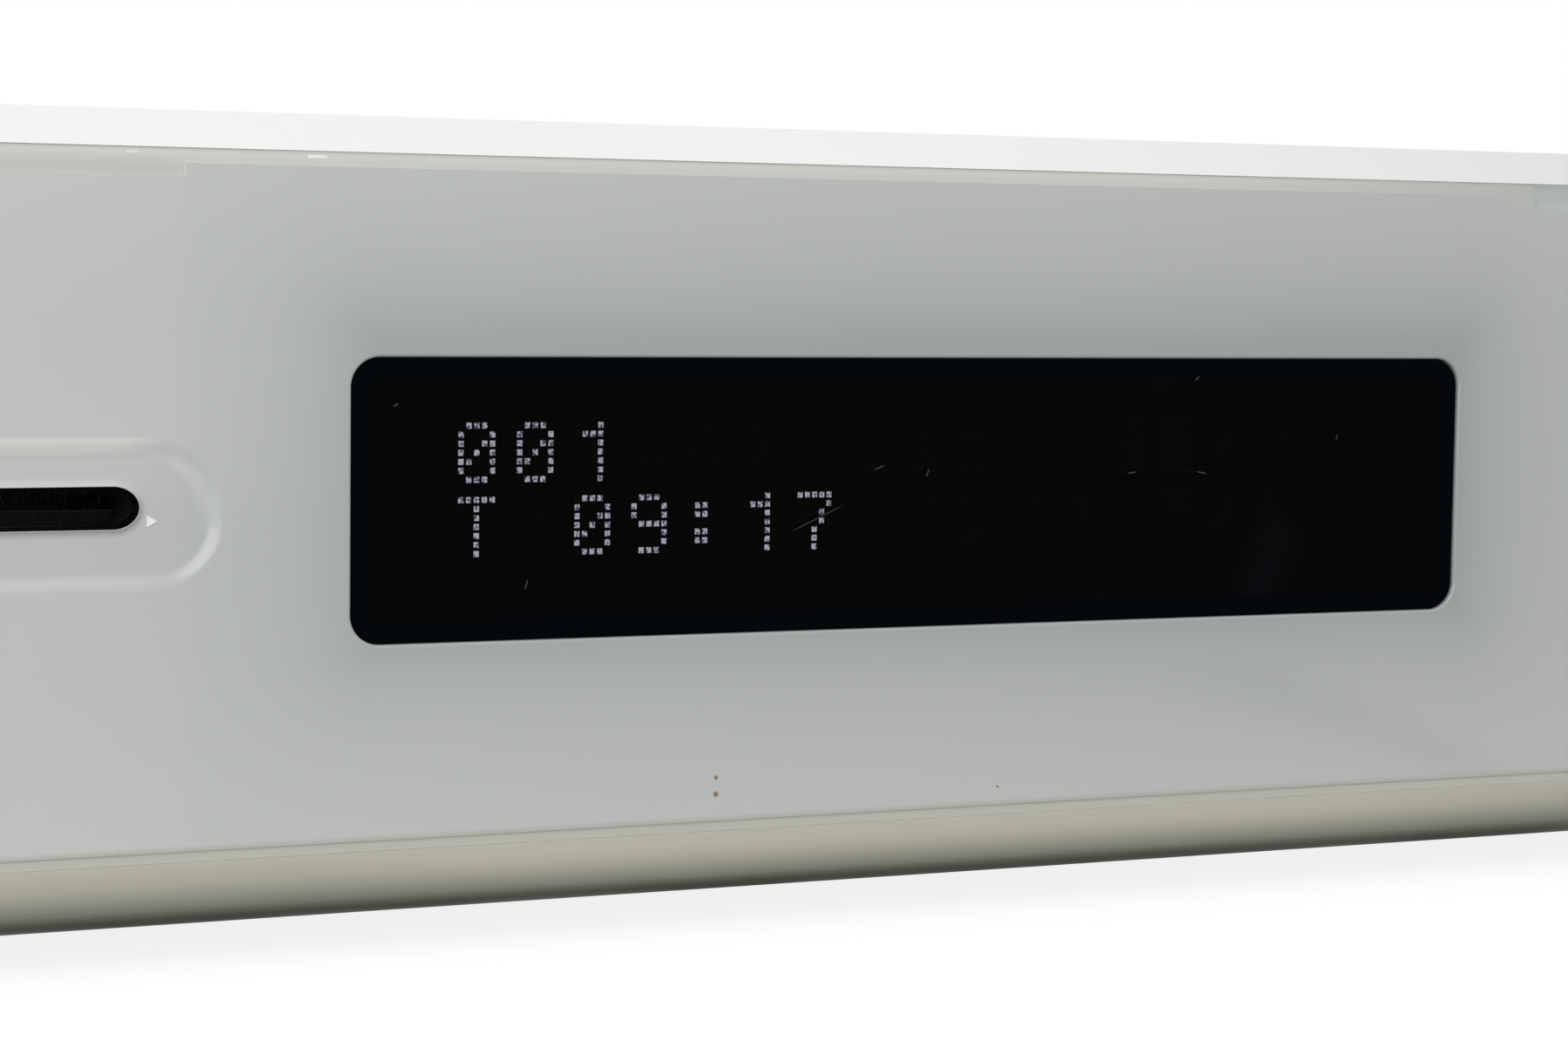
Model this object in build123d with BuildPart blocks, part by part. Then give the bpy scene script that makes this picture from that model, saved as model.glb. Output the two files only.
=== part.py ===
from build123d import *
from math import cos, radians, sin
import os

# A slot-loading disc receiver with a dot-matrix display, made of its separate pieces.
# Millimetres. X runs to the right as seen from the front, Y to the back and Z up.
# The origin is on the floor, under the middle of the whole object.

# Casing
WIDTH = 400.0
BODY_HEIGHT = 81.0
BODY_DEPTH = 262.0
REAR_REACH = 8.0  # how far the rear sockets stand out behind the panel
FOOT_HEIGHT = 4.0
COVER_WALL = 2.2
COVER_NOSE = 7.0  # depth of the solid bar behind the cover's front bevel
BEVEL_DROP = 3.8
BEVEL_RUN = 4.4
COVER_ROUND = 2.0
SHELL_WALL = 2.4
SHELL_RISE = 7.1
SHELL_NOSE = 8.0  # depth of the solid bar along the lower shell's front
ROLL_RADIUS = 6.0  # the front edge rolls under by a quarter round
SHELL_ROUND = 2.0
PANEL_SHEET = 1.2
SEAM = 0.35  # the open parting line above the front
FIT = 0.15  # clearance between casing pieces that slide together
AIR = 0.3  # clearance round a piece that moves
RUNNING_FIT = 0.05  # radial clearance of a shaft in its bore

# Front
FASCIA_THICK = 3.0
CARRIER_THICK = 3.0
BAND_SET_BACK = 0.4
BAND_HEIGHT = 2.45  # carrier showing above the fascia
DISPLAY_BAND_HEIGHT = 1.15  # the same above the display zone
RIM_HEIGHT = 1.1  # carrier showing below the fascia
SLOT_X = -76.85
SLOT_RISE = 42.1  # slot centre above the underside of the body
SLOT_WIDTH = 128.0
SLOT_HEIGHT = 4.4
SLOT_END = 2.7  # length of the slot's half-elliptical end
LIP_WIDTH = 0.7
LIP_HEIGHT = 0.5
RECESS_WIDTH = 144.4
RECESS_HEIGHT = 14.3
RECESS_END = 8.4
RECESS_DEPTH = 1.5
RECESS_DRAFT = 0.9
RECESS_DROP = 0.65  # recess centre below the slot centre
WINDOW_X = 74.7
WINDOW_RISE = 42.45
WINDOW_WIDTH = 132.3
WINDOW_HEIGHT = 28.9
WINDOW_CORNER = 3.05
WINDOW_LEDGE = 2.0
ZONE_MARGIN_LEFT = 16.9  # the display zone's reach beyond the window
ZONE_MARGIN_RIGHT = 10.0
LENS_SET_BACK = 0.25
LENS_GAP = 0.12

# Display
TUBE_WIDTH = 136.0
TUBE_HEIGHT = 33.0
TUBE_DEPTH = 6.5
HOLDER_WALL = 1.6
DISPLAY_BOARD_WIDTH = 140.0
DISPLAY_BOARD_HEIGHT = 48.0
DISPLAY_BOARD_GAP = 0.2

# Boards and what fastens them
BOARD_THICK = 1.6
BOARD_LIFT = 6.0
POST_RADIUS = 3.5
SCREW_RADIUS = 1.25
SCREW_LENGTH = 6.0
SCREW_HEAD_RADIUS = 2.6
SCREW_HEAD_HEIGHT = 1.7
SCREW_CLEARANCE = 0.1
SCREW_DRIVE_RADIUS = 0.8  # round stand-in for the cross recess
SCREW_DRIVE_DEPTH = 0.9
POST_INSET = 7.0

# Buttons
BUTTON_RADIUS = 4.0
POWER_RADIUS = 7.0
BUTTON_TRAVEL = 0.8
BUTTON_FLANGE = 1.4
BUTTON_FLANGE_THICK = 1.0
BUTTON_STEM_RADIUS = 1.5
BUTTON_STEM = 1.5
BUTTON_ROUND = 0.4
BUTTON_INSET = 19.5  # from the right-hand end to the middle of the two columns
BUTTON_SPACING = 16.0
BUTTON_ROW_STEP = 13.0
BUTTON_RISE = 61.0
POWER_INSET = 20.0  # from the left-hand end to the power button
POWER_RISE = 42.0
SWITCH_SIZE = 6.0
SWITCH_BODY = 3.5
SWITCH_PLUNGER = 0.8
SWITCH_PLUNGER_RADIUS = 1.6
KEY_BOARD_WIDTH = 30.0
KEY_BOARD_HEIGHT = 64.0
KEY_BOARD_RISE = 42.0
POWER_KEY_WIDTH = 18.0
POWER_KEY_HEIGHT = 40.0

# Front sockets
SOCKET_RISE = 23.0
MEDIA_WIDTH = 13.2
MEDIA_HEIGHT = 5.8
MEDIA_WALL = 0.5
MEDIA_TONGUE = 1.9
PHONES_NOSE_RADIUS = 4.0
PHONES_BORE_RADIUS = 1.8
PHONES_BODY = 11.0
PHONES_NOSE = 8.0

# Levels and edges that follow from the values above
LEFT_X = -WIDTH / 2
RIGHT_X = WIDTH / 2
POWER_X = LEFT_X + POWER_INSET
BUTTON_X = RIGHT_X - BUTTON_INSET
MEDIA_X = BUTTON_X - BUTTON_SPACING / 2
PHONES_X = BUTTON_X + BUTTON_SPACING / 2
FRONT_Y = -(BODY_DEPTH + REAR_REACH) / 2
BACK_Y = FRONT_Y + BODY_DEPTH
BOTTOM_Z = FOOT_HEIGHT
TOP_Z = BOTTOM_Z + BODY_HEIGHT
FLOOR_Z = BOTTOM_Z + SHELL_WALL
SHELL_TOP_Z = BOTTOM_Z + SHELL_RISE
CEILING_Z = TOP_Z - COVER_WALL
BEVEL_Z = TOP_Z - BEVEL_DROP
CARRIER_TOP_Z = BEVEL_Z - SEAM
CARRIER_BACK_Y = FRONT_Y + FASCIA_THICK + CARRIER_THICK
FASCIA_BACK_Y = FRONT_Y + FASCIA_THICK
FASCIA_BOTTOM_Z = SHELL_TOP_Z + RIM_HEIGHT
FASCIA_TOP_Z = BEVEL_Z - SEAM - BAND_HEIGHT
ZONE_TOP_Z = BEVEL_Z - SEAM - DISPLAY_BAND_HEIGHT
ZONE_LEFT = WINDOW_X - WINDOW_WIDTH / 2 - ZONE_MARGIN_LEFT
ZONE_RIGHT = WINDOW_X + WINDOW_WIDTH / 2 + ZONE_MARGIN_RIGHT
SLOT_Z = BOTTOM_Z + SLOT_RISE
RECESS_Z = SLOT_Z - RECESS_DROP
WINDOW_Z = BOTTOM_Z + WINDOW_RISE
BOARD_Z = FLOOR_Z + BOARD_LIFT
BOARD_TOP_Z = BOARD_Z + BOARD_THICK
PANEL_Y = BACK_Y - PANEL_SHEET
INNER_HALF = WIDTH / 2 - max(COVER_WALL, SHELL_WALL) - FIT
SOCKET_Z = BOTTOM_Z + SOCKET_RISE
BUTTON_LENGTH = FASCIA_THICK + CARRIER_THICK + AIR
SWITCH_Y = (
    FRONT_Y + BUTTON_LENGTH + BUTTON_FLANGE_THICK + BUTTON_STEM + BUTTON_TRAVEL + AIR
)
KEY_BOARD_Y = SWITCH_Y + SWITCH_PLUNGER + SWITCH_BODY

BUTTONS = {
    "power_button": (POWER_X, BOTTOM_Z + POWER_RISE, POWER_RADIUS),
}
for row, names in enumerate(
    (("eject_button", "play_button"), ("source_button",), ("volume_down_button", "volume_up_button"))
):
    for column, name in enumerate(names):
        BUTTONS[name] = (
            BUTTON_X + (column - (len(names) - 1) / 2) * BUTTON_SPACING,
            BOTTOM_Z + BUTTON_RISE - row * BUTTON_ROW_STEP,
            BUTTON_RADIUS,
        )


def block(low, high, mode=Mode.ADD):
    """A box between two corners."""
    with Locations(tuple((a + b) / 2 for a, b in zip(low, high))):
        return Box(*[b - a for a, b in zip(low, high)], mode=mode)


def rod(start, direction, radius, length, mode=Mode.ADD):
    """A round bar from a point, along a direction."""
    with Locations(Plane(origin=start, z_dir=direction)):
        return Cylinder(radius, length, align=(Align.CENTER, Align.CENTER, Align.MIN), mode=mode)


def screw(head_seat, direction, length=SCREW_LENGTH):
    """A pan-head screw whose head sits at a point, with its shank along a direction."""
    outward = -Vector(direction)
    rod(head_seat, direction, SCREW_RADIUS, length)
    rod(head_seat, outward, SCREW_HEAD_RADIUS, SCREW_HEAD_HEIGHT)
    top = Vector(head_seat) + outward * SCREW_HEAD_HEIGHT
    rod(top, direction, SCREW_DRIVE_RADIUS, SCREW_DRIVE_DEPTH, mode=Mode.SUBTRACT)


def stadium(width, height, end):
    """A slot outline with half-elliptical ends, drawn in the sketch in hand."""
    Rectangle(width - 2 * end, height)
    with Locations((width / 2 - end, 0), (end - width / 2, 0)):
        Ellipse(end, height / 2)


def front_plane(x, z, y):
    """A plane that faces the user, at a depth y, centred on x and z."""
    return Plane(origin=(x, y, z), x_dir=(1, 0, 0), z_dir=(0, -1, 0))


def corners(box, inset):
    """The four corner points of a board's outline (x0, x1, y0, y1), moved inwards."""
    x0, x1, y0, y1 = box
    return [(x, y) for x in (x0 + inset, x1 - inset) for y in (y0 + inset, y1 - inset)]


# Top cover: one moulded shell, with the sloped strip along its front edge
COVER_TAB_Y = 60.0
TAB_WIDTH = 16.0
TAB_THICK = 3.0
TAB_HEIGHT = 22.0
SIDE_SCREW_RISE = 18.0
VENT_LENGTH = 34.0
VENT_WIDTH = 2.4
VENT_PITCH = 6.0
VENT_COLUMNS = 22
VENT_ROWS = 2
VENT_ROW_STEP = 46.0
VENT_SET_X = 81.0  # middle of the vents, from the right-hand boards' left edge
VENT_SET_Y = 92.0  # and from the back
REAR_BOSS = 10.0
REAR_BOSS_INSET = 50.0
REAR_BOSS_MIDDLE = -20.0
MAIN_RIGHT = 12.0  # right-hand edge of the main board
BOARD_GAP = 2.0  # between boards that stand side by side
SUPPLY_LEFT = MAIN_RIGHT + BOARD_GAP
VENT_X = SUPPLY_LEFT + VENT_SET_X
VENT_Y = BACK_Y - VENT_SET_Y
REAR_BOSS_X = (LEFT_X + REAR_BOSS_INSET, REAR_BOSS_MIDDLE, RIGHT_X - REAR_BOSS_INSET)
SIDE_SCREW_Z = BOTTOM_Z + SIDE_SCREW_RISE
TAB_OUTER = WIDTH / 2 - COVER_WALL - FIT
REAR_BOSS_TOP_Z = CEILING_Z - REAR_BOSS / 2
REAR_FOOT = BOARD_LIFT - AIR  # the lower bosses stay under the boards
REAR_BOSS_FOOT_Z = FLOOR_Z + REAR_FOOT / 2

with BuildPart() as top_cover:
    block(
        (-WIDTH / 2, FRONT_Y, SHELL_TOP_Z + SEAM),
        (WIDTH / 2, BACK_Y, TOP_Z),
    )
    top_edges = top_cover.faces().sort_by(Axis.Z)[-1].edges()
    fillet(top_edges.filter_by(Axis.Y) + top_edges.sort_by(Axis.Y)[-1:], COVER_ROUND)
    with BuildSketch(Plane.YZ) as bevel:
        with BuildLine():
            Polyline(
                (FRONT_Y - BEVEL_RUN, TOP_Z + BEVEL_DROP),
                (FRONT_Y - BEVEL_RUN, BEVEL_Z - BEVEL_DROP),
                (FRONT_Y, BEVEL_Z),
                (FRONT_Y + BEVEL_RUN, TOP_Z),
                (FRONT_Y + BEVEL_RUN, TOP_Z + BEVEL_DROP),
                close=True,
            )
        make_face()
    extrude(amount=WIDTH, both=True, mode=Mode.SUBTRACT)
    inner = WIDTH / 2 - COVER_WALL
    block((-inner, FRONT_Y, SHELL_TOP_Z), (inner, BACK_Y, BEVEL_Z), mode=Mode.SUBTRACT)
    block((-inner, FRONT_Y + COVER_NOSE, BEVEL_Z), (inner, BACK_Y, CEILING_Z), mode=Mode.SUBTRACT)
    block(
        (-WIDTH, FRONT_Y - BEVEL_RUN, SHELL_TOP_Z),
        (WIDTH, CARRIER_BACK_Y + FIT, BEVEL_Z),
        mode=Mode.SUBTRACT,
    )
    for x in REAR_BOSS_X:
        block(
            (x - REAR_BOSS / 2, PANEL_Y - REAR_BOSS, CEILING_Z - REAR_BOSS),
            (x + REAR_BOSS / 2, PANEL_Y, CEILING_Z),
        )
        rod(
            (x, PANEL_Y, REAR_BOSS_TOP_Z),
            (0, -1, 0),
            SCREW_RADIUS + SCREW_CLEARANCE,
            SCREW_LENGTH,
            mode=Mode.SUBTRACT,
        )
    for side in (-1, 1):
        for y in (-COVER_TAB_Y, COVER_TAB_Y):
            rod(
                (side * WIDTH / 2, y, SIDE_SCREW_Z),
                (-side, 0, 0),
                SCREW_RADIUS + SCREW_CLEARANCE,
                COVER_WALL,
                mode=Mode.SUBTRACT,
            )
    with BuildSketch(Plane.XY.offset(CEILING_Z)):
        with Locations((VENT_X, VENT_Y)):
            with GridLocations(VENT_PITCH, VENT_ROW_STEP, VENT_COLUMNS, VENT_ROWS):
                SlotOverall(VENT_LENGTH, VENT_WIDTH, rotation=90)
    extrude(amount=COVER_WALL, mode=Mode.SUBTRACT)

# Disc drive: where it stands and how it is laid out round the disc
LINER_WALL = 1.2
LINER_REACH = 4.0  # how far the slot liner stands out behind the carrier
LINER_FLANGE = 4.0
LINER_FLANGE_THICK = 1.5
LINER_GAP = 0.15
DRIVE_WIDTH = 146.0
DRIVE_DEPTH = 180.0
DRIVE_SHEET = 1.0
DRIVE_BELOW = 24.0
DRIVE_ABOVE = 12.5
DRIVE_POST_RADIUS = 5.0
DRIVE_POST_INSET = 12.0
DISC_RADIUS = 60.0
DISC_THICK = 1.2
DISC_SET_BACK = 24.0  # from the front of the drive to the edge of a loaded disc
DRIVE_LEFT = SLOT_X - DRIVE_WIDTH / 2
DRIVE_RIGHT = SLOT_X + DRIVE_WIDTH / 2
DRIVE_FRONT_Y = CARRIER_BACK_Y + LINER_REACH + FIT
DRIVE_BACK_Y = DRIVE_FRONT_Y + DRIVE_DEPTH
DRIVE_FLOOR_Z = SLOT_Z - DRIVE_BELOW
DRIVE_INNER_Z = DRIVE_FLOOR_Z + DRIVE_SHEET
DRIVE_TOP_Z = SLOT_Z + DRIVE_ABOVE
CHASSIS_TOP_Z = DRIVE_TOP_Z - DRIVE_SHEET
DISC_Y = DRIVE_FRONT_Y + DISC_SET_BACK + DISC_RADIUS
SEAT_Z = SLOT_Z - DISC_THICK / 2
DRIVE_BOX = (DRIVE_LEFT, DRIVE_RIGHT, DRIVE_FRONT_Y, DRIVE_BACK_Y)

# Boards (x0, x1, y0, y1)
BOARD_BACK_GAP = 1.0
MAIN_INSET = 8.0
MAIN_SET_BACK = 6.0  # behind the drive
POWER_BOARD_INSET = 10.0
POWER_SET_BACK = 26.0  # from the front of the casing
POWER_DEPTH = 100.0
AMPLIFIER_INSET = 50.0
AMPLIFIER_DEPTH = 84.0
AMPLIFIER_CLEAR = 20.8  # leaves room for the fan behind the amplifier board
SPEAKER_INSET = 82.0  # from the right-hand end to the middle of the speaker sockets
SPEAKER_WIDTH = 56.0
TERMINAL_MARGIN = 6.0  # the amplifier board's rear strip reaches past the sockets
SPEAKER_X = RIGHT_X - SPEAKER_INSET
TERMINAL_EDGE_X = SPEAKER_X - SPEAKER_WIDTH / 2 - TERMINAL_MARGIN
BOARD_EDGE_Y = PANEL_Y - BOARD_BACK_GAP
POWER_FRONT_Y = FRONT_Y + POWER_SET_BACK
AMPLIFIER_BACK_Y = BOARD_EDGE_Y - AMPLIFIER_CLEAR
MAIN_BOARD = (LEFT_X + MAIN_INSET, MAIN_RIGHT, DRIVE_BACK_Y + MAIN_SET_BACK, BOARD_EDGE_Y)
POWER_BOARD = (SUPPLY_LEFT, RIGHT_X - POWER_BOARD_INSET, POWER_FRONT_Y, POWER_FRONT_Y + POWER_DEPTH)
AMPLIFIER_BOARD = (
    SUPPLY_LEFT,
    RIGHT_X - AMPLIFIER_INSET,
    AMPLIFIER_BACK_Y - AMPLIFIER_DEPTH,
    AMPLIFIER_BACK_Y,
)

# Feet
FOOT_RADIUS = 15.0
FOOT_TAPER = 1.5
FOOT_INSET_X = 30.0
FOOT_FRONT_INSET = 55.0
FOOT_BACK_INSET = 30.0
PAD_RADIUS = 11.0
PAD_THICK = 2.0
PAD_PROUD = 1.0
SPIGOT_RADIUS = 3.0
BASE_VENT_COLUMNS = 18
BASE_VENT_SET = 64.0  # middle of the base's vents, from the power board's front edge
BASE_VENT_X = SUPPLY_LEFT + VENT_SET_X
BASE_VENT_Y = POWER_FRONT_Y + BASE_VENT_SET
FEET = [
    (side * (WIDTH / 2 - FOOT_INSET_X), y)
    for side in (-1, 1)
    for y in (FRONT_Y + FOOT_FRONT_INSET, BACK_Y - FOOT_BACK_INSET)
]
BOARD_POSTS = [
    point
    for board in (MAIN_BOARD, POWER_BOARD, AMPLIFIER_BOARD)
    for point in corners(board, POST_INSET)
]

# Lower shell: the base tray that the boards and the drive are screwed to
with BuildPart() as lower_shell:
    block((-WIDTH / 2, FRONT_Y, BOTTOM_Z), (WIDTH / 2, BACK_Y, SHELL_TOP_Z))
    under_edges = lower_shell.faces().sort_by(Axis.Z)[0].edges()
    fillet(under_edges.sort_by(Axis.Y)[:1], ROLL_RADIUS)
    fillet(
        lower_shell.faces().sort_by(Axis.Z)[0].edges().filter_by(Axis.Y),
        SHELL_ROUND,
    )
    shell_inner = WIDTH / 2 - SHELL_WALL
    block(
        (-shell_inner, FRONT_Y + SHELL_NOSE, FLOOR_Z),
        (shell_inner, BACK_Y, SHELL_TOP_Z),
        mode=Mode.SUBTRACT,
    )
    with Locations([(x, y, FLOOR_Z) for x, y in BOARD_POSTS]):
        Cylinder(POST_RADIUS, BOARD_LIFT, align=(Align.CENTER, Align.CENTER, Align.MIN))
    with Locations([(x, y, FLOOR_Z) for x, y in corners(DRIVE_BOX, DRIVE_POST_INSET)]):
        Cylinder(
            DRIVE_POST_RADIUS,
            DRIVE_FLOOR_Z - FLOOR_Z,
            align=(Align.CENTER, Align.CENTER, Align.MIN),
        )
    for x in REAR_BOSS_X:
        block(
            (x - REAR_BOSS / 2, PANEL_Y - REAR_BOSS, FLOOR_Z),
            (x + REAR_BOSS / 2, PANEL_Y, FLOOR_Z + REAR_FOOT),
        )
        rod(
            (x, PANEL_Y, REAR_BOSS_FOOT_Z),
            (0, -1, 0),
            SCREW_RADIUS + SCREW_CLEARANCE,
            SCREW_LENGTH,
            mode=Mode.SUBTRACT,
        )
    for side in (-1, 1):
        for y in (-COVER_TAB_Y, COVER_TAB_Y):
            inner_x, outer_x = sorted((side * TAB_OUTER, side * (TAB_OUTER - TAB_THICK)))
            block(
                (inner_x, y - TAB_WIDTH / 2, FLOOR_Z),
                (outer_x, y + TAB_WIDTH / 2, FLOOR_Z + TAB_HEIGHT),
            )
            rod(
                (side * TAB_OUTER, y, SIDE_SCREW_Z),
                (-side, 0, 0),
                SCREW_RADIUS + SCREW_CLEARANCE,
                TAB_THICK,
                mode=Mode.SUBTRACT,
            )
    for x, y in BOARD_POSTS:
        rod(
            (x, y, BOARD_Z),
            (0, 0, -1),
            SCREW_RADIUS + SCREW_CLEARANCE,
            SCREW_LENGTH,
            mode=Mode.SUBTRACT,
        )
    for x, y in corners(DRIVE_BOX, DRIVE_POST_INSET):
        rod(
            (x, y, DRIVE_FLOOR_Z),
            (0, 0, -1),
            SCREW_RADIUS + SCREW_CLEARANCE,
            SCREW_LENGTH,
            mode=Mode.SUBTRACT,
        )
    for x, y in FEET:
        rod(
            (x, y, BOTTOM_Z),
            (0, 0, 1),
            SPIGOT_RADIUS,
            SHELL_WALL,
            mode=Mode.SUBTRACT,
        )
    with BuildSketch(Plane.XY.offset(BOTTOM_Z)):
        with Locations((BASE_VENT_X, BASE_VENT_Y)):
            with GridLocations(VENT_PITCH, VENT_ROW_STEP, BASE_VENT_COLUMNS, VENT_ROWS):
                SlotOverall(VENT_LENGTH, VENT_WIDTH, rotation=90)
    extrude(amount=SHELL_WALL, mode=Mode.SUBTRACT)

with BuildPart() as feet:
    for x, y in FEET:
        with BuildSketch(Plane(origin=(x, y, PAD_PROUD))):
            Circle(FOOT_RADIUS - FOOT_TAPER)
        with BuildSketch(Plane(origin=(x, y, BOTTOM_Z))):
            Circle(FOOT_RADIUS)
        loft()
        rod((x, y, BOTTOM_Z), (0, 0, 1), SPIGOT_RADIUS, SHELL_WALL)
        rod((x, y, PAD_PROUD), (0, 0, 1), PAD_RADIUS, PAD_THICK - PAD_PROUD, mode=Mode.SUBTRACT)

with BuildPart() as foot_pads:
    with Locations([(x, y, 0) for x, y in FEET]):
        Cylinder(PAD_RADIUS, PAD_THICK, align=(Align.CENTER, Align.CENTER, Align.MIN))

# Front carrier: the plate behind the fascia, seen above it as a band and below it as a rim
DISPLAY_BOARD_Y = CARRIER_BACK_Y + TUBE_DEPTH + DISPLAY_BOARD_GAP
DISPLAY_POSTS = [
    (WINDOW_X + dx, WINDOW_Z + dz)
    for dx in (-(DISPLAY_BOARD_WIDTH / 2 - POST_RADIUS), DISPLAY_BOARD_WIDTH / 2 - POST_RADIUS)
    for dz in (-(DISPLAY_BOARD_HEIGHT / 2 - POST_RADIUS), DISPLAY_BOARD_HEIGHT / 2 - POST_RADIUS)
]
KEY_POSTS = [
    (BUTTON_X + dx, BOTTOM_Z + KEY_BOARD_RISE + dz)
    for dx in (-(KEY_BOARD_WIDTH / 2 - POST_RADIUS), KEY_BOARD_WIDTH / 2 - POST_RADIUS)
    for dz in (-(KEY_BOARD_HEIGHT / 2 - POST_RADIUS), KEY_BOARD_HEIGHT / 2 - POST_RADIUS)
] + [
    (POWER_X + dx, BOTTOM_Z + POWER_RISE + dz)
    for dx in (-(POWER_KEY_WIDTH / 2 - POST_RADIUS), POWER_KEY_WIDTH / 2 - POST_RADIUS)
    for dz in (-(POWER_KEY_HEIGHT / 2 - POST_RADIUS), POWER_KEY_HEIGHT / 2 - POST_RADIUS)
]


def front_holes(depth):
    """Cuts the holes that the buttons and front sockets pass through, from the face inwards."""
    for x, z, radius in BUTTONS.values():
        rod((x, FRONT_Y, z), (0, 1, 0), radius + AIR, depth, mode=Mode.SUBTRACT)
    rod((PHONES_X, FRONT_Y, SOCKET_Z), (0, 1, 0), PHONES_NOSE_RADIUS + FIT, depth, mode=Mode.SUBTRACT)
    block(
        (MEDIA_X - MEDIA_WIDTH / 2 - FIT, FRONT_Y, SOCKET_Z - MEDIA_HEIGHT / 2 - FIT),
        (MEDIA_X + MEDIA_WIDTH / 2 + FIT, FRONT_Y + depth, SOCKET_Z + MEDIA_HEIGHT / 2 + FIT),
        mode=Mode.SUBTRACT,
    )


with BuildPart() as front_carrier:
    block((-WIDTH / 2, FRONT_Y + BAND_SET_BACK, SHELL_TOP_Z), (WIDTH / 2, CARRIER_BACK_Y, CARRIER_TOP_Z))
    block((-WIDTH, FRONT_Y, FASCIA_BOTTOM_Z), (WIDTH, FASCIA_BACK_Y, FASCIA_TOP_Z), mode=Mode.SUBTRACT)
    block((ZONE_LEFT, FRONT_Y, FASCIA_TOP_Z), (ZONE_RIGHT, FASCIA_BACK_Y, ZONE_TOP_Z), mode=Mode.SUBTRACT)
    front_holes(FASCIA_THICK + CARRIER_THICK)
    with BuildSketch(front_plane(WINDOW_X, WINDOW_Z, FASCIA_BACK_Y)):
        RectangleRounded(
            WINDOW_WIDTH - 2 * WINDOW_LEDGE,
            WINDOW_HEIGHT - 2 * WINDOW_LEDGE,
            WINDOW_CORNER - WINDOW_LEDGE / 2,
        )
    extrude(amount=-CARRIER_THICK, mode=Mode.SUBTRACT)
    with BuildSketch(front_plane(SLOT_X, SLOT_Z, FASCIA_BACK_Y)):
        stadium(
            SLOT_WIDTH + 2 * (LINER_WALL + FIT),
            SLOT_HEIGHT + 2 * (LINER_GAP + LINER_WALL + FIT),
            SLOT_END + LINER_WALL,
        )
    extrude(amount=-CARRIER_THICK, mode=Mode.SUBTRACT)
    holder_wide, holder_tall = TUBE_WIDTH / 2 + FIT, TUBE_HEIGHT / 2 + FIT
    block(
        (WINDOW_X - holder_wide - HOLDER_WALL, CARRIER_BACK_Y, WINDOW_Z - holder_tall - HOLDER_WALL),
        (WINDOW_X + holder_wide + HOLDER_WALL, DISPLAY_BOARD_Y, WINDOW_Z + holder_tall + HOLDER_WALL),
    )
    block(
        (WINDOW_X - holder_wide, CARRIER_BACK_Y, WINDOW_Z - holder_tall),
        (WINDOW_X + holder_wide, DISPLAY_BOARD_Y, WINDOW_Z + holder_tall),
        mode=Mode.SUBTRACT,
    )
    for x, z in DISPLAY_POSTS:
        rod((x, CARRIER_BACK_Y, z), (0, 1, 0), POST_RADIUS, DISPLAY_BOARD_Y - CARRIER_BACK_Y)
    for x, z in KEY_POSTS:
        rod((x, CARRIER_BACK_Y, z), (0, 1, 0), POST_RADIUS, KEY_BOARD_Y - CARRIER_BACK_Y)
    for board_y, posts in ((DISPLAY_BOARD_Y, DISPLAY_POSTS), (KEY_BOARD_Y, KEY_POSTS)):
        for x, z in posts:
            rod(
                (x, board_y, z),
                (0, -1, 0),
                SCREW_RADIUS + SCREW_CLEARANCE,
                SCREW_LENGTH,
                mode=Mode.SUBTRACT,
            )

# Fascia: the glossy front, with a drafted recess and a raised lip round the disc slot
with BuildPart() as front_fascia:
    block((-WIDTH / 2, FRONT_Y, FASCIA_BOTTOM_Z + FIT), (WIDTH / 2, FASCIA_BACK_Y, FASCIA_TOP_Z - FIT))
    block(
        (ZONE_LEFT + FIT, FRONT_Y, FASCIA_TOP_Z - FIT),
        (ZONE_RIGHT - FIT, FASCIA_BACK_Y, ZONE_TOP_Z - FIT),
    )
    with BuildSketch(front_plane(SLOT_X, RECESS_Z, FRONT_Y)):
        stadium(RECESS_WIDTH, RECESS_HEIGHT, RECESS_END)
    with BuildSketch(front_plane(SLOT_X, RECESS_Z, FRONT_Y + RECESS_DEPTH)):
        stadium(
            RECESS_WIDTH - 2 * RECESS_DRAFT,
            RECESS_HEIGHT - 2 * RECESS_DRAFT,
            RECESS_END - RECESS_DRAFT,
        )
    loft(mode=Mode.SUBTRACT)
    with BuildSketch(front_plane(SLOT_X, SLOT_Z, FRONT_Y + RECESS_DEPTH)):
        stadium(SLOT_WIDTH + 2 * LIP_WIDTH, SLOT_HEIGHT + 2 * LIP_WIDTH, SLOT_END + LIP_WIDTH)
    extrude(amount=LIP_HEIGHT)
    with BuildSketch(front_plane(SLOT_X, SLOT_Z, FRONT_Y)):
        stadium(SLOT_WIDTH, SLOT_HEIGHT, SLOT_END)
    extrude(amount=-FASCIA_THICK, mode=Mode.SUBTRACT)
    with BuildSketch(front_plane(WINDOW_X, WINDOW_Z, FRONT_Y)):
        RectangleRounded(WINDOW_WIDTH, WINDOW_HEIGHT, WINDOW_CORNER)
    extrude(amount=-FASCIA_THICK, mode=Mode.SUBTRACT)
    front_holes(FASCIA_THICK)

with BuildPart() as display_lens:
    with BuildSketch(front_plane(WINDOW_X, WINDOW_Z, FASCIA_BACK_Y)):
        RectangleRounded(
            WINDOW_WIDTH - 2 * LENS_GAP,
            WINDOW_HEIGHT - 2 * LENS_GAP,
            WINDOW_CORNER - LENS_GAP,
        )
    extrude(amount=FASCIA_THICK - LENS_SET_BACK)

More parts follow.
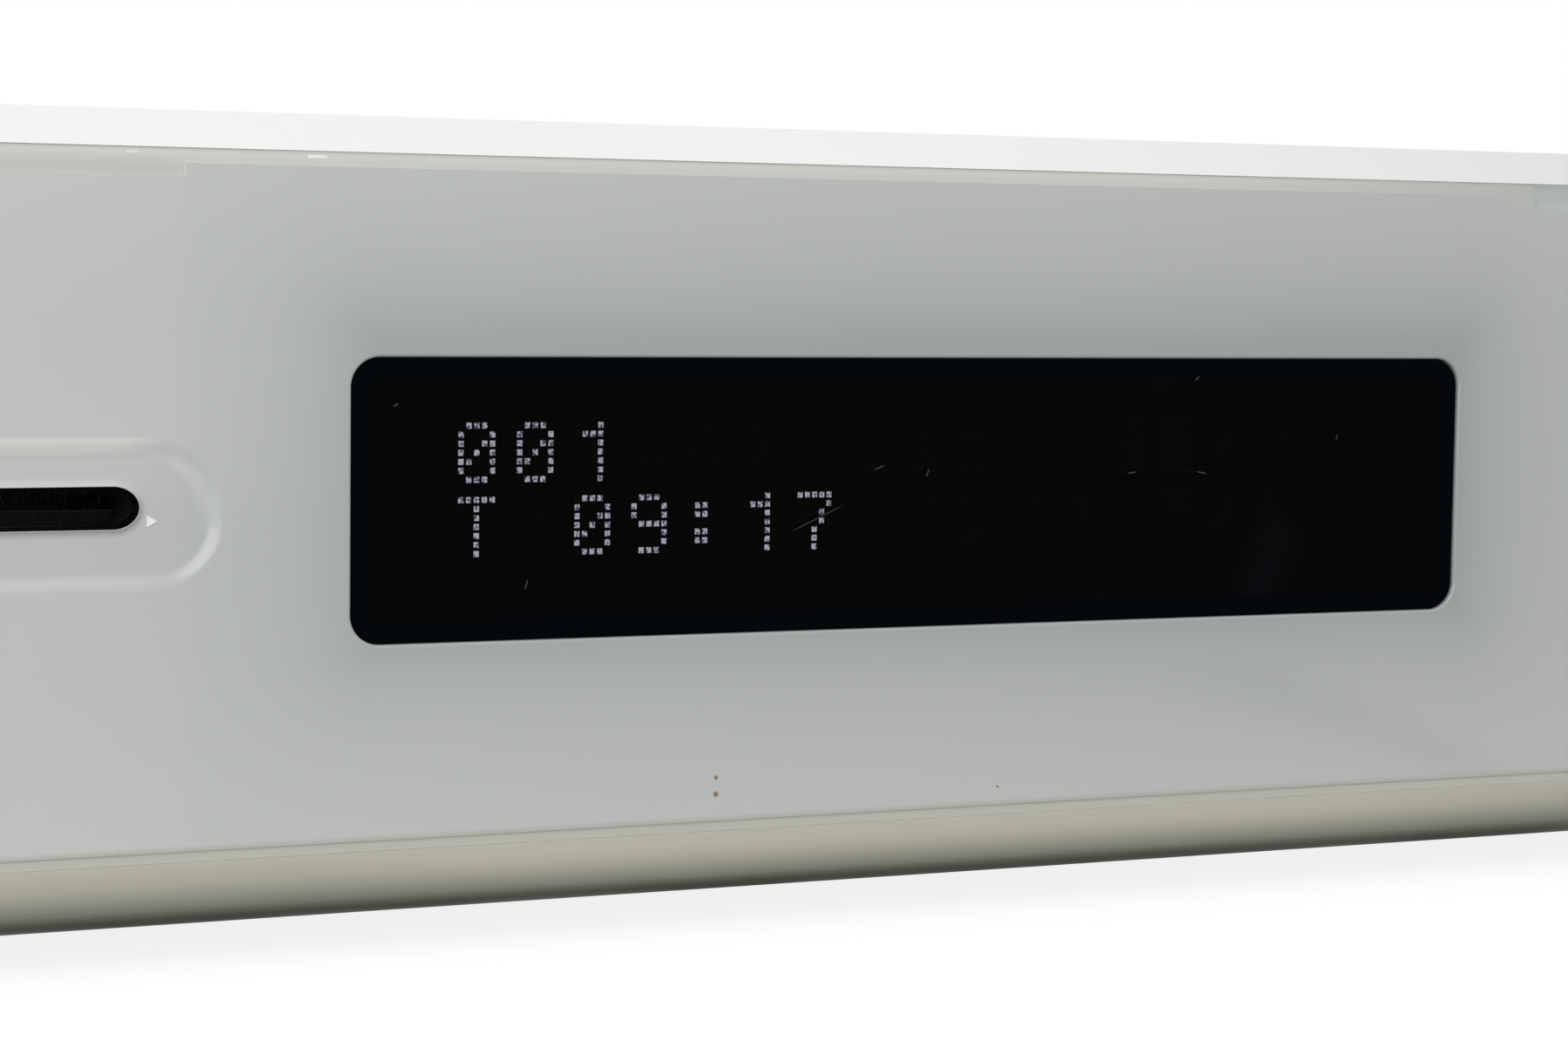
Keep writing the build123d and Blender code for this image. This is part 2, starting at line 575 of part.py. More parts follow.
with BuildPart() as display_tube:
    block(
        (WINDOW_X - TUBE_WIDTH / 2, CARRIER_BACK_Y, WINDOW_Z - TUBE_HEIGHT / 2),
        (WINDOW_X + TUBE_WIDTH / 2, CARRIER_BACK_Y + TUBE_DEPTH, WINDOW_Z + TUBE_HEIGHT / 2),
    )

with BuildPart() as display_board:
    block(
        (
            WINDOW_X - DISPLAY_BOARD_WIDTH / 2,
            DISPLAY_BOARD_Y,
            WINDOW_Z - DISPLAY_BOARD_HEIGHT / 2,
        ),
        (
            WINDOW_X + DISPLAY_BOARD_WIDTH / 2,
            DISPLAY_BOARD_Y + BOARD_THICK,
            WINDOW_Z + DISPLAY_BOARD_HEIGHT / 2,
        ),
    )
    for x, z in DISPLAY_POSTS:
        rod(
            (x, DISPLAY_BOARD_Y, z),
            (0, 1, 0),
            SCREW_RADIUS + SCREW_CLEARANCE,
            BOARD_THICK,
            mode=Mode.SUBTRACT,
        )

# Slot liner: the black sleeve that leads a disc from the fascia into the drive
with BuildPart() as slot_liner:
    with BuildSketch(front_plane(SLOT_X, SLOT_Z, FASCIA_BACK_Y)):
        stadium(
            SLOT_WIDTH + 2 * LINER_WALL,
            SLOT_HEIGHT + 2 * (LINER_GAP + LINER_WALL),
            SLOT_END + LINER_WALL,
        )
    extrude(amount=-(CARRIER_THICK + LINER_REACH))
    with BuildSketch(front_plane(SLOT_X, SLOT_Z, CARRIER_BACK_Y)):
        stadium(
            SLOT_WIDTH + 2 * LINER_FLANGE,
            SLOT_HEIGHT + 2 * LINER_FLANGE,
            SLOT_END + LINER_FLANGE,
        )
    extrude(amount=-LINER_FLANGE_THICK)
    with BuildSketch(front_plane(SLOT_X, SLOT_Z, FASCIA_BACK_Y)):
        stadium(SLOT_WIDTH, SLOT_HEIGHT + 2 * LINER_GAP, SLOT_END)
    extrude(amount=-(CARRIER_THICK + LINER_REACH), mode=Mode.SUBTRACT)

# Dust lips: two felt strips inside the drive that close all but the disc's own path
LIP_STRIP_THICK = 1.2
LIP_STRIP_TALL = 5.0
LIP_STRIP_PATH = 0.9  # half the gap left for the disc
LIP_STRIP_Y = DRIVE_FRONT_Y + DRIVE_SHEET
with BuildPart() as dust_lips:
    for low, high in (
        (SLOT_Z - LIP_STRIP_PATH - LIP_STRIP_TALL, SLOT_Z - LIP_STRIP_PATH),
        (SLOT_Z + LIP_STRIP_PATH, SLOT_Z + LIP_STRIP_PATH + LIP_STRIP_TALL),
    ):
        block(
            (SLOT_X - SLOT_WIDTH / 2, LIP_STRIP_Y, low),
            (SLOT_X + SLOT_WIDTH / 2, LIP_STRIP_Y + LIP_STRIP_THICK, high),
        )


def push_button(x, z, radius):
    """A button cap with the flange that keeps it in and the stem that works its switch."""
    with BuildPart(Plane(origin=(x, FRONT_Y, z), x_dir=(1, 0, 0), z_dir=(0, 1, 0))) as button:
        upright = (Align.CENTER, Align.CENTER, Align.MIN)
        Cylinder(radius, BUTTON_LENGTH, align=upright)
        fillet(button.edges().sort_by(Axis.Y)[:1], BUTTON_ROUND)
        with Locations((0, 0, BUTTON_LENGTH)):
            Cylinder(radius + BUTTON_FLANGE, BUTTON_FLANGE_THICK, align=upright)
        with Locations((0, 0, BUTTON_LENGTH + BUTTON_FLANGE_THICK)):
            Cylinder(BUTTON_STEM_RADIUS, BUTTON_STEM, align=upright)
    return button


buttons = {name: push_button(*place) for name, place in BUTTONS.items()}

with BuildPart() as key_switches:
    for x, z, radius in BUTTONS.values():
        half = SWITCH_SIZE / 2
        block(
            (x - half, KEY_BOARD_Y - SWITCH_BODY, z - half),
            (x + half, KEY_BOARD_Y, z + half),
        )
        rod(
            (x, KEY_BOARD_Y - SWITCH_BODY, z),
            (0, -1, 0),
            SWITCH_PLUNGER_RADIUS,
            SWITCH_PLUNGER,
        )

with BuildPart() as key_boards:
    for x, rise, wide, tall in (
        (BUTTON_X, KEY_BOARD_RISE, KEY_BOARD_WIDTH, KEY_BOARD_HEIGHT),
        (POWER_X, POWER_RISE, POWER_KEY_WIDTH, POWER_KEY_HEIGHT),
    ):
        z = BOTTOM_Z + rise
        block(
            (x - wide / 2, KEY_BOARD_Y, z - tall / 2),
            (x + wide / 2, KEY_BOARD_Y + BOARD_THICK, z + tall / 2),
        )
    for x, z in KEY_POSTS:
        rod(
            (x, KEY_BOARD_Y, z),
            (0, 1, 0),
            SCREW_RADIUS + SCREW_CLEARANCE,
            BOARD_THICK,
            mode=Mode.SUBTRACT,
        )

# Front sockets, both soldered to the right-hand key board
with BuildPart() as media_port:
    half_wide, half_tall = MEDIA_WIDTH / 2, MEDIA_HEIGHT / 2
    block(
        (MEDIA_X - half_wide, FRONT_Y + BAND_SET_BACK, SOCKET_Z - half_tall),
        (MEDIA_X + half_wide, KEY_BOARD_Y, SOCKET_Z + half_tall),
    )
    block(
        (MEDIA_X - half_wide + MEDIA_WALL, FRONT_Y, SOCKET_Z - half_tall + MEDIA_WALL),
        (MEDIA_X + half_wide - MEDIA_WALL, KEY_BOARD_Y - MEDIA_TONGUE, SOCKET_Z + half_tall - MEDIA_WALL),
        mode=Mode.SUBTRACT,
    )
    block(
        (MEDIA_X - half_wide + 2 * MEDIA_WALL, FRONT_Y + MEDIA_TONGUE, SOCKET_Z),
        (MEDIA_X + half_wide - 2 * MEDIA_WALL, KEY_BOARD_Y, SOCKET_Z + MEDIA_TONGUE),
    )

with BuildPart() as headphone_jack:
    half_body = PHONES_BODY / 2
    rod(
        (PHONES_X, FRONT_Y + BAND_SET_BACK, SOCKET_Z),
        (0, 1, 0),
        PHONES_NOSE_RADIUS,
        PHONES_NOSE,
    )
    block(
        (PHONES_X - half_body, CARRIER_BACK_Y, SOCKET_Z - half_body),
        (PHONES_X + half_body, KEY_BOARD_Y, SOCKET_Z + half_body),
    )
    rod(
        (PHONES_X, FRONT_Y, SOCKET_Z),
        (0, 1, 0),
        PHONES_BORE_RADIUS,
        KEY_BOARD_Y - FRONT_Y - MEDIA_WALL,
        mode=Mode.SUBTRACT,
    )

# Feed roller and its gear train, at the front left of the drive
ROLLER_SET_BACK = 10.0
ROLLER_RADIUS = 4.0
ROLLER_WAIST = 3.2  # the roller narrows to the middle, so it grips only a disc's edges
ROLLER_LENGTH = 120.0
SHAFT_RADIUS = 1.5
GEAR_MODULE = 0.6
GEAR_WIDTH = 4.0
GEAR_INSET = 3.0  # from the drive's left wall to the gears
GEAR_SLACK = 0.2  # extra distance between meshed gears
GEAR_DEDENDUM = 1.2  # depth of a gap below the pitch circle, in modules
ROLLER_TEETH = 18
IDLER_TEETH = 26
PINION_TEETH = 10
TOOTH_ROOT = 0.95
TOOTH_TIP = 0.4
IDLER_ANGLE = -20.0
PINION_ANGLE = 0.0
LOADING_MOTOR_RADIUS = 6.0
LOADING_MOTOR_LENGTH = 20.0
MOTOR_SHAFT_RADIUS = 0.75
ROLLER_Y = DRIVE_FRONT_Y + ROLLER_SET_BACK
ROLLER_Z = SEAT_Z - ROLLER_RADIUS
GEAR_X = DRIVE_LEFT + DRIVE_SHEET + GEAR_INSET


def mesh_distance(teeth_a, teeth_b):
    """Distance between the axes of two meshed gears."""
    return GEAR_MODULE * (teeth_a + teeth_b) / 2 + GEAR_SLACK


IDLER_Y = ROLLER_Y + mesh_distance(ROLLER_TEETH, IDLER_TEETH) * cos(radians(IDLER_ANGLE))
IDLER_Z = ROLLER_Z + mesh_distance(ROLLER_TEETH, IDLER_TEETH) * sin(radians(IDLER_ANGLE))
PINION_Y = IDLER_Y + mesh_distance(IDLER_TEETH, PINION_TEETH) * cos(radians(PINION_ANGLE))
PINION_Z = IDLER_Z + mesh_distance(IDLER_TEETH, PINION_TEETH) * sin(radians(PINION_ANGLE))

# Angles of one tooth of each gear: a tooth of the roller's gear points at the idler,
# into a gap of the idler, and the pinion's teeth fill the idler's gaps in the same way
ROLLER_PHASE = IDLER_ANGLE
IDLER_PHASE = IDLER_ANGLE + 180 + 180 / IDLER_TEETH
IDLER_OFFSET = (IDLER_PHASE - PINION_ANGLE) % (360 / IDLER_TEETH)
PINION_PHASE = PINION_ANGLE + 180 - IDLER_OFFSET * IDLER_TEETH / PINION_TEETH + 180 / PINION_TEETH


def gear(y, z, teeth, phase):
    """A spur gear on an axis along X, with one tooth at the phase angle."""
    pitch_radius = GEAR_MODULE * teeth / 2
    root_radius = pitch_radius - GEAR_DEDENDUM * GEAR_MODULE
    tip_radius = pitch_radius + GEAR_MODULE
    side = Plane(origin=(GEAR_X, y, z), x_dir=(0, 1, 0), z_dir=(1, 0, 0))
    with BuildSketch(side, mode=Mode.PRIVATE) as face:
        Circle(root_radius)
        with PolarLocations(0, teeth, start_angle=phase):
            Polygon(
                (root_radius - GEAR_MODULE / 2, -TOOTH_ROOT / 2),
                (tip_radius, -TOOTH_TIP / 2),
                (tip_radius, TOOTH_TIP / 2),
                (root_radius - GEAR_MODULE / 2, TOOTH_ROOT / 2),
                align=None,
            )
    return face.sketch


with BuildPart() as roller_shaft:
    rod((DRIVE_LEFT - AIR, ROLLER_Y, ROLLER_Z), (1, 0, 0), SHAFT_RADIUS, DRIVE_WIDTH + 2 * AIR)
    extrude(gear(ROLLER_Y, ROLLER_Z, ROLLER_TEETH, ROLLER_PHASE), amount=GEAR_WIDTH)

with BuildPart() as feed_roller:
    with BuildSketch(Plane(origin=(SLOT_X, ROLLER_Y, ROLLER_Z), x_dir=(1, 0, 0), z_dir=(0, -1, 0))):
        with BuildLine():
            Polyline(
                (-ROLLER_LENGTH / 2, SHAFT_RADIUS),
                (-ROLLER_LENGTH / 2, ROLLER_RADIUS),
                (0, ROLLER_WAIST),
                (ROLLER_LENGTH / 2, ROLLER_RADIUS),
                (ROLLER_LENGTH / 2, SHAFT_RADIUS),
                close=True,
            )
        make_face()
    revolve(axis=Axis((SLOT_X, ROLLER_Y, ROLLER_Z), (1, 0, 0)))

with BuildPart() as loading_gear:
    extrude(gear(IDLER_Y, IDLER_Z, IDLER_TEETH, IDLER_PHASE), amount=GEAR_WIDTH)
    rod(
        (GEAR_X, IDLER_Y, IDLER_Z),
        (1, 0, 0),
        SHAFT_RADIUS + RUNNING_FIT,
        GEAR_WIDTH,
        mode=Mode.SUBTRACT,
    )

with BuildPart() as motor_pinion:
    extrude(gear(PINION_Y, PINION_Z, PINION_TEETH, PINION_PHASE), amount=GEAR_WIDTH)
    rod((GEAR_X, PINION_Y, PINION_Z), (1, 0, 0), MOTOR_SHAFT_RADIUS, GEAR_WIDTH + LOADING_MOTOR_LENGTH / 2)

# The loading motor lies in a saddle that stands on the drive's floor
LOADING_MOTOR_X = GEAR_X + GEAR_WIDTH + AIR
with BuildPart() as loading_motor:
    rod((LOADING_MOTOR_X, PINION_Y, PINION_Z), (1, 0, 0), LOADING_MOTOR_RADIUS, LOADING_MOTOR_LENGTH)
    rod(
        (LOADING_MOTOR_X, PINION_Y, PINION_Z),
        (1, 0, 0),
        MOTOR_SHAFT_RADIUS + RUNNING_FIT,
        LOADING_MOTOR_LENGTH / 2,
        mode=Mode.SUBTRACT,
    )

# Traverse: the frame that carries the spindle and the pickup, and tips down to let a disc pass
TRAVERSE_HALF = 46.0
TRAVERSE_THICK = 3.0
TRAVERSE_DROP = 6.5  # from the disc's seat to the top of the frame
TRAVERSE_FRONT = 30.0
TRAVERSE_TAIL = 4.0
TRUNNION_RADIUS = 1.2
TRUNNION_LENGTH = 4.0
EAR_THICK = 3.0
EAR_HALF = 4.0
TRAVERSE_TOP_Z = SEAT_Z - TRAVERSE_DROP
TRAVERSE_Z = TRAVERSE_TOP_Z - TRAVERSE_THICK
PIVOT_Z = TRAVERSE_TOP_Z - TRAVERSE_THICK / 2

# Spindle
SEAT_RADIUS = 15.0
SEAT_THICK = 3.0
CONE_RADIUS = 7.3
CONE_TIP_RADIUS = 6.3
CONE_HEIGHT = 2.2
SPINDLE_RADIUS = 1.0
SPINDLE_MOTOR_RADIUS = 13.0
SPINDLE_MOTOR_HEIGHT = 8.0
SPINDLE_FLANGE_RADIUS = 15.5
SPINDLE_FLANGE_THICK = 1.2
SPINDLE_FLOOR = 1.0
SPINDLE_TOP_Z = SEAT_Z - SEAT_THICK - AIR
SPINDLE_BOTTOM_Z = SPINDLE_TOP_Z - SPINDLE_MOTOR_HEIGHT

# Pickup: a sled on two rods, driven by a lead screw beside them
ROD_RADIUS = 1.5
ROD_X = 24.0
ROD_RISE = 2.2  # above the traverse frame
LUG_HALF = 4.0
LUG_THICK = 5.0
LUG_START = 6.0
LUG_SET = 2.0  # from the opening to the rear lugs
LEAD_LUG_HALF = 5.0
LEAD_LUG_SET = 3.0
SLED_HALF = 28.0
SLED_START = 16.6
SLED_LENGTH = 25.4
SLED_BELOW = 1.5
SLED_ABOVE = 4.8
SLED_TRAVEL = 34.0
SLED_END_GAP = 2.0  # left in front of the opening's rear edge at full travel
PICKUP_SET = 7.4  # pickup lens centre behind the sled's front edge
PICKUP_RADIUS = 2.2
PICKUP_HEIGHT = 0.8
NUT_HALF = 4.0
NUT_LENGTH = 10.0
NUT_SET = 8.0
NUT_BELOW = 2.25
SCREW_X = 35.0
LEAD_RADIUS = 1.5
LEAD_CLEARANCE = 0.1
LEAD_DROP = 1.0
PIVOT_SET = 4.0  # from the front of the rear lugs to the pivot
SLED_MOTOR_RADIUS = 6.0
SLED_MOTOR_LENGTH = 18.0
OPENING_START = 16.0
OPENING_LEFT = 30.0
OPENING_RIGHT = 41.0
ROD_Z = TRAVERSE_TOP_Z + ROD_RISE
LEAD_Z = TRAVERSE_TOP_Z - LEAD_DROP
SLED_Y = DISC_Y + SLED_START
LEAD_LUG_Y = DISC_Y + LUG_START + LEAD_LUG_SET
OPENING_END = SLED_START + SLED_LENGTH + SLED_TRAVEL + SLED_END_GAP
LUG_END = OPENING_END + LUG_SET
PIVOT_Y = DISC_Y + LUG_END + PIVOT_SET

with BuildPart() as traverse_frame:
    block(
        (SLOT_X - TRAVERSE_HALF, DISC_Y - TRAVERSE_FRONT, TRAVERSE_Z),
        (SLOT_X + TRAVERSE_HALF, PIVOT_Y + TRAVERSE_TAIL, TRAVERSE_TOP_Z),
    )
    rod(
        (SLOT_X, DISC_Y, TRAVERSE_Z),
        (0, 0, 1),
        SPINDLE_MOTOR_RADIUS + FIT,
        TRAVERSE_THICK,
        mode=Mode.SUBTRACT,
    )
    block(
        (SLOT_X - OPENING_LEFT, DISC_Y + OPENING_START, TRAVERSE_Z),
        (SLOT_X + OPENING_RIGHT, DISC_Y + OPENING_END, TRAVERSE_TOP_Z),
        mode=Mode.SUBTRACT,
    )
    block(
        (SLOT_X + SCREW_X - SLED_MOTOR_RADIUS - AIR, LEAD_LUG_Y - SLED_MOTOR_LENGTH - AIR, TRAVERSE_Z),
        (SLOT_X + SCREW_X + SLED_MOTOR_RADIUS + AIR, LEAD_LUG_Y, TRAVERSE_TOP_Z),
        mode=Mode.SUBTRACT,
    )
    for y in (DISC_Y + LUG_START, DISC_Y + LUG_END):
        for x in (SLOT_X - ROD_X, SLOT_X + ROD_X):
            block(
                (x - LUG_HALF, y, TRAVERSE_TOP_Z),
                (x + LUG_HALF, y + LUG_THICK, ROD_Z + 2 * ROD_RADIUS),
            )
    for y in (LEAD_LUG_Y, DISC_Y + LUG_END):
        block(
            (SLOT_X + SCREW_X - LEAD_LUG_HALF, y, TRAVERSE_Z),
            (SLOT_X + SCREW_X + LEAD_LUG_HALF, y + LUG_THICK, LEAD_Z + 2 * LEAD_RADIUS),
        )
    for x in (SLOT_X - ROD_X, SLOT_X + ROD_X):
        rod(
            (x, DISC_Y + LUG_START, ROD_Z),
            (0, 1, 0),
            ROD_RADIUS,
            LUG_END + LUG_THICK - LUG_START,
            mode=Mode.SUBTRACT,
        )
    rod(
        (SLOT_X + SCREW_X, LEAD_LUG_Y, LEAD_Z),
        (0, 1, 0),
        LEAD_RADIUS + RUNNING_FIT,
        LUG_END + LUG_THICK,
        mode=Mode.SUBTRACT,
    )
    for side in (-1, 1):
        rod(
            (SLOT_X + side * TRAVERSE_HALF, PIVOT_Y, PIVOT_Z),
            (side, 0, 0),
            TRUNNION_RADIUS,
            TRUNNION_LENGTH,
        )

with BuildPart() as spindle_motor:
    rod((SLOT_X, DISC_Y, SPINDLE_BOTTOM_Z), (0, 0, 1), SPINDLE_MOTOR_RADIUS, SPINDLE_MOTOR_HEIGHT)
    rod(
        (SLOT_X, DISC_Y, TRAVERSE_Z),
        (0, 0, -1),
        SPINDLE_FLANGE_RADIUS,
        SPINDLE_FLANGE_THICK,
    )
    rod(
        (SLOT_X, DISC_Y, SPINDLE_BOTTOM_Z + SPINDLE_FLOOR),
        (0, 0, 1),
        SPINDLE_RADIUS + RUNNING_FIT,
        SPINDLE_MOTOR_HEIGHT,
        mode=Mode.SUBTRACT,
    )

with BuildPart() as turntable:
    rod((SLOT_X, DISC_Y, SEAT_Z - SEAT_THICK), (0, 0, 1), SEAT_RADIUS, SEAT_THICK)
    with Locations((SLOT_X, DISC_Y, SEAT_Z)):
        Cone(CONE_RADIUS, CONE_TIP_RADIUS, CONE_HEIGHT, align=(Align.CENTER, Align.CENTER, Align.MIN))
    rod(
        (SLOT_X, DISC_Y, SEAT_Z - SEAT_THICK),
        (0, 0, -1),
        SPINDLE_RADIUS,
        SPINDLE_MOTOR_HEIGHT - SPINDLE_FLOOR,
    )

with BuildPart() as guide_rods:
    for x in (SLOT_X - ROD_X, SLOT_X + ROD_X):
        rod((x, DISC_Y + LUG_START, ROD_Z), (0, 1, 0), ROD_RADIUS, LUG_END + LUG_THICK - LUG_START)

with BuildPart() as pickup_sled:
    block(
        (SLOT_X - SLED_HALF, SLED_Y, TRAVERSE_Z - SLED_BELOW),
        (SLOT_X + SLED_HALF, SLED_Y + SLED_LENGTH, TRAVERSE_TOP_Z + SLED_ABOVE),
    )
    block(
        (SLOT_X, SLED_Y + NUT_SET, LEAD_Z - NUT_BELOW),
        (SLOT_X + SCREW_X + NUT_HALF, SLED_Y + NUT_SET + NUT_LENGTH, LEAD_Z + 2 * LEAD_RADIUS),
    )
    for x in (SLOT_X - ROD_X, SLOT_X + ROD_X):
        rod((x, SLED_Y, ROD_Z), (0, 1, 0), ROD_RADIUS + RUNNING_FIT, SLED_LENGTH, mode=Mode.SUBTRACT)
    rod(
        (SLOT_X + SCREW_X, SLED_Y, LEAD_Z),
        (0, 1, 0),
        LEAD_RADIUS + LEAD_CLEARANCE,
        SLED_LENGTH,
        mode=Mode.SUBTRACT,
    )

with BuildPart() as pickup_lens:
    rod(
        (SLOT_X, SLED_Y + PICKUP_SET, TRAVERSE_TOP_Z + SLED_ABOVE),
        (0, 0, 1),
        PICKUP_RADIUS,
        PICKUP_HEIGHT,
    )

LEAD_START_Y = LEAD_LUG_Y - SLED_MOTOR_LENGTH / 2
with BuildPart() as lead_screw:
    rod(
        (SLOT_X + SCREW_X, LEAD_START_Y, LEAD_Z),
        (0, 1, 0),
        LEAD_RADIUS,
        DISC_Y + LUG_END + LUG_THICK - LEAD_START_Y,
    )

with BuildPart() as sled_motor:
    rod(
        (SLOT_X + SCREW_X, LEAD_LUG_Y, LEAD_Z),
        (0, -1, 0),
        SLED_MOTOR_RADIUS,
        SLED_MOTOR_LENGTH,
    )
    rod(
        (SLOT_X + SCREW_X, LEAD_LUG_Y, LEAD_Z),
        (0, -1, 0),
        LEAD_RADIUS + RUNNING_FIT,
        SLED_MOTOR_LENGTH / 2 + AIR,
        mode=Mode.SUBTRACT,
    )

# Clamp: an arm hinged at the back of the drive, with the free-turning clamper at its end
ARM_THICK = 1.2
ARM_HALF = 15.0
ARM_TIP_RADIUS = 18.0
ARM_RISE = 5.5  # underside of the arm above the disc's seat
KNUCKLE_RADIUS = 2.6
CLAMP_PIN_RADIUS = 1.5
CLAMP_SET = 5.0
CLAMP_EAR = 3.0
CLAMPER_RADIUS = 14.0
CLAMPER_GAP = 1.5
CLAMPER_NECK_RADIUS = 4.0
CLAMPER_CAP_RADIUS = 6.0
CLAMPER_CAP_THICK = 0.8
CLAMPER_HOLLOW_RADIUS = 8.2
CLAMPER_HOLLOW = 1.6
ARM_Z = SEAT_Z + ARM_RISE
CLAMP_Y = DRIVE_BACK_Y - DRIVE_SHEET - CLAMP_SET
CLAMP_Z = ARM_Z + ARM_THICK / 2

with BuildPart() as clamp_arm:
    with BuildSketch(Plane.XY.offset(ARM_Z)):
        with Locations((SLOT_X, DISC_Y)):
            Circle(ARM_TIP_RADIUS)
        with Locations((SLOT_X, (DISC_Y + CLAMP_Y) / 2)):
            Rectangle(2 * ARM_HALF - 2 * AIR, CLAMP_Y - DISC_Y)
    extrude(amount=ARM_THICK)
    rod(
        (SLOT_X - ARM_HALF + AIR, CLAMP_Y, CLAMP_Z),
        (1, 0, 0),
        KNUCKLE_RADIUS,
        2 * (ARM_HALF - AIR),
    )
    rod(
        (SLOT_X - ARM_HALF, CLAMP_Y, CLAMP_Z),
        (1, 0, 0),
        CLAMP_PIN_RADIUS + RUNNING_FIT,
        2 * ARM_HALF,
        mode=Mode.SUBTRACT,
    )
    rod(
        (SLOT_X, DISC_Y, ARM_Z),
        (0, 0, 1),
        CLAMPER_NECK_RADIUS + AIR,
        ARM_THICK,
        mode=Mode.SUBTRACT,
    )

with BuildPart() as clamp_pin:
    rod(
        (SLOT_X - ARM_HALF - CLAMP_EAR, CLAMP_Y, CLAMP_Z),
        (1, 0, 0),
        CLAMP_PIN_RADIUS,
        2 * (ARM_HALF + CLAMP_EAR),
    )

with BuildPart() as clamper:
    rod(
        (SLOT_X, DISC_Y, SEAT_Z + CLAMPER_GAP),
        (0, 0, 1),
        CLAMPER_RADIUS,
        ARM_RISE - CLAMPER_GAP - AIR,
    )
    rod(
        (SLOT_X, DISC_Y, ARM_Z - AIR),
        (0, 0, 1),
        CLAMPER_NECK_RADIUS,
        ARM_THICK + 2 * AIR,
    )
    rod(
        (SLOT_X, DISC_Y, ARM_Z + ARM_THICK + AIR),
        (0, 0, 1),
        CLAMPER_CAP_RADIUS,
        CLAMPER_CAP_THICK,
    )
    rod(
        (SLOT_X, DISC_Y, SEAT_Z + CLAMPER_GAP),
        (0, 0, 1),
        CLAMPER_HOLLOW_RADIUS,
        CLAMPER_HOLLOW,
        mode=Mode.SUBTRACT,
    )

# Drive chassis: a sheet tray with ears for the pivots, a stud for the idler and a motor saddle
with BuildPart() as drive_chassis:
    block((DRIVE_LEFT, DRIVE_FRONT_Y, DRIVE_FLOOR_Z), (DRIVE_RIGHT, DRIVE_BACK_Y, CHASSIS_TOP_Z))
    block(
        (DRIVE_LEFT + DRIVE_SHEET, DRIVE_FRONT_Y + DRIVE_SHEET, DRIVE_INNER_Z),
        (DRIVE_RIGHT - DRIVE_SHEET, DRIVE_BACK_Y - DRIVE_SHEET, CHASSIS_TOP_Z),
        mode=Mode.SUBTRACT,
    )
    block(
        (SLOT_X - SLOT_WIDTH / 2, DRIVE_FRONT_Y, SLOT_Z - SLOT_HEIGHT / 2),
        (SLOT_X + SLOT_WIDTH / 2, DRIVE_FRONT_Y + DRIVE_SHEET, SLOT_Z + SLOT_HEIGHT / 2),
        mode=Mode.SUBTRACT,
    )
    for side in (-1, 1):
        low_x, high_x = sorted(
            (
                SLOT_X + side * (TRAVERSE_HALF + AIR),
                SLOT_X + side * (TRAVERSE_HALF + AIR + EAR_THICK),
            )
        )
        block(
            (low_x, PIVOT_Y - EAR_HALF, DRIVE_INNER_Z),
            (high_x, PIVOT_Y + EAR_HALF, PIVOT_Z + EAR_HALF),
        )
        low_x, high_x = sorted(
            (SLOT_X + side * ARM_HALF, SLOT_X + side * (ARM_HALF + CLAMP_EAR))
        )
        block(
            (low_x, CLAMP_Y - EAR_HALF, CLAMP_Z - EAR_HALF),
            (high_x, DRIVE_BACK_Y - DRIVE_SHEET, CLAMP_Z + EAR_HALF),
        )
    block(
        (LOADING_MOTOR_X, PINION_Y - LOADING_MOTOR_RADIUS, DRIVE_INNER_Z),
        (LOADING_MOTOR_X + LOADING_MOTOR_LENGTH, PINION_Y + LOADING_MOTOR_RADIUS, PINION_Z),
    )
    rod(
        (LOADING_MOTOR_X, PINION_Y, PINION_Z),
        (1, 0, 0),
        LOADING_MOTOR_RADIUS,
        LOADING_MOTOR_LENGTH,
        mode=Mode.SUBTRACT,
    )
    rod(
        (DRIVE_LEFT + DRIVE_SHEET, IDLER_Y, IDLER_Z),
        (1, 0, 0),
        SHAFT_RADIUS,
        GEAR_INSET + GEAR_WIDTH + AIR,
    )
    rod(
        (DRIVE_LEFT, ROLLER_Y, ROLLER_Z),
        (1, 0, 0),
        SHAFT_RADIUS + RUNNING_FIT,
        DRIVE_WIDTH,
        mode=Mode.SUBTRACT,
    )
    rod(
        (SLOT_X - TRAVERSE_HALF - TRUNNION_LENGTH - AIR, PIVOT_Y, PIVOT_Z),
        (1, 0, 0),
        TRUNNION_RADIUS + RUNNING_FIT,
        2 * (TRAVERSE_HALF + TRUNNION_LENGTH + AIR),
        mode=Mode.SUBTRACT,
    )
    rod(
        (SLOT_X - ARM_HALF - CLAMP_EAR, CLAMP_Y, CLAMP_Z),
        (1, 0, 0),
        CLAMP_PIN_RADIUS,
        2 * (ARM_HALF + CLAMP_EAR),
        mode=Mode.SUBTRACT,
    )
    for x, y in corners(DRIVE_BOX, DRIVE_POST_INSET):
        rod(
            (x, y, DRIVE_FLOOR_Z),
            (0, 0, 1),
            SCREW_RADIUS + SCREW_CLEARANCE,
            DRIVE_SHEET,
            mode=Mode.SUBTRACT,
        )

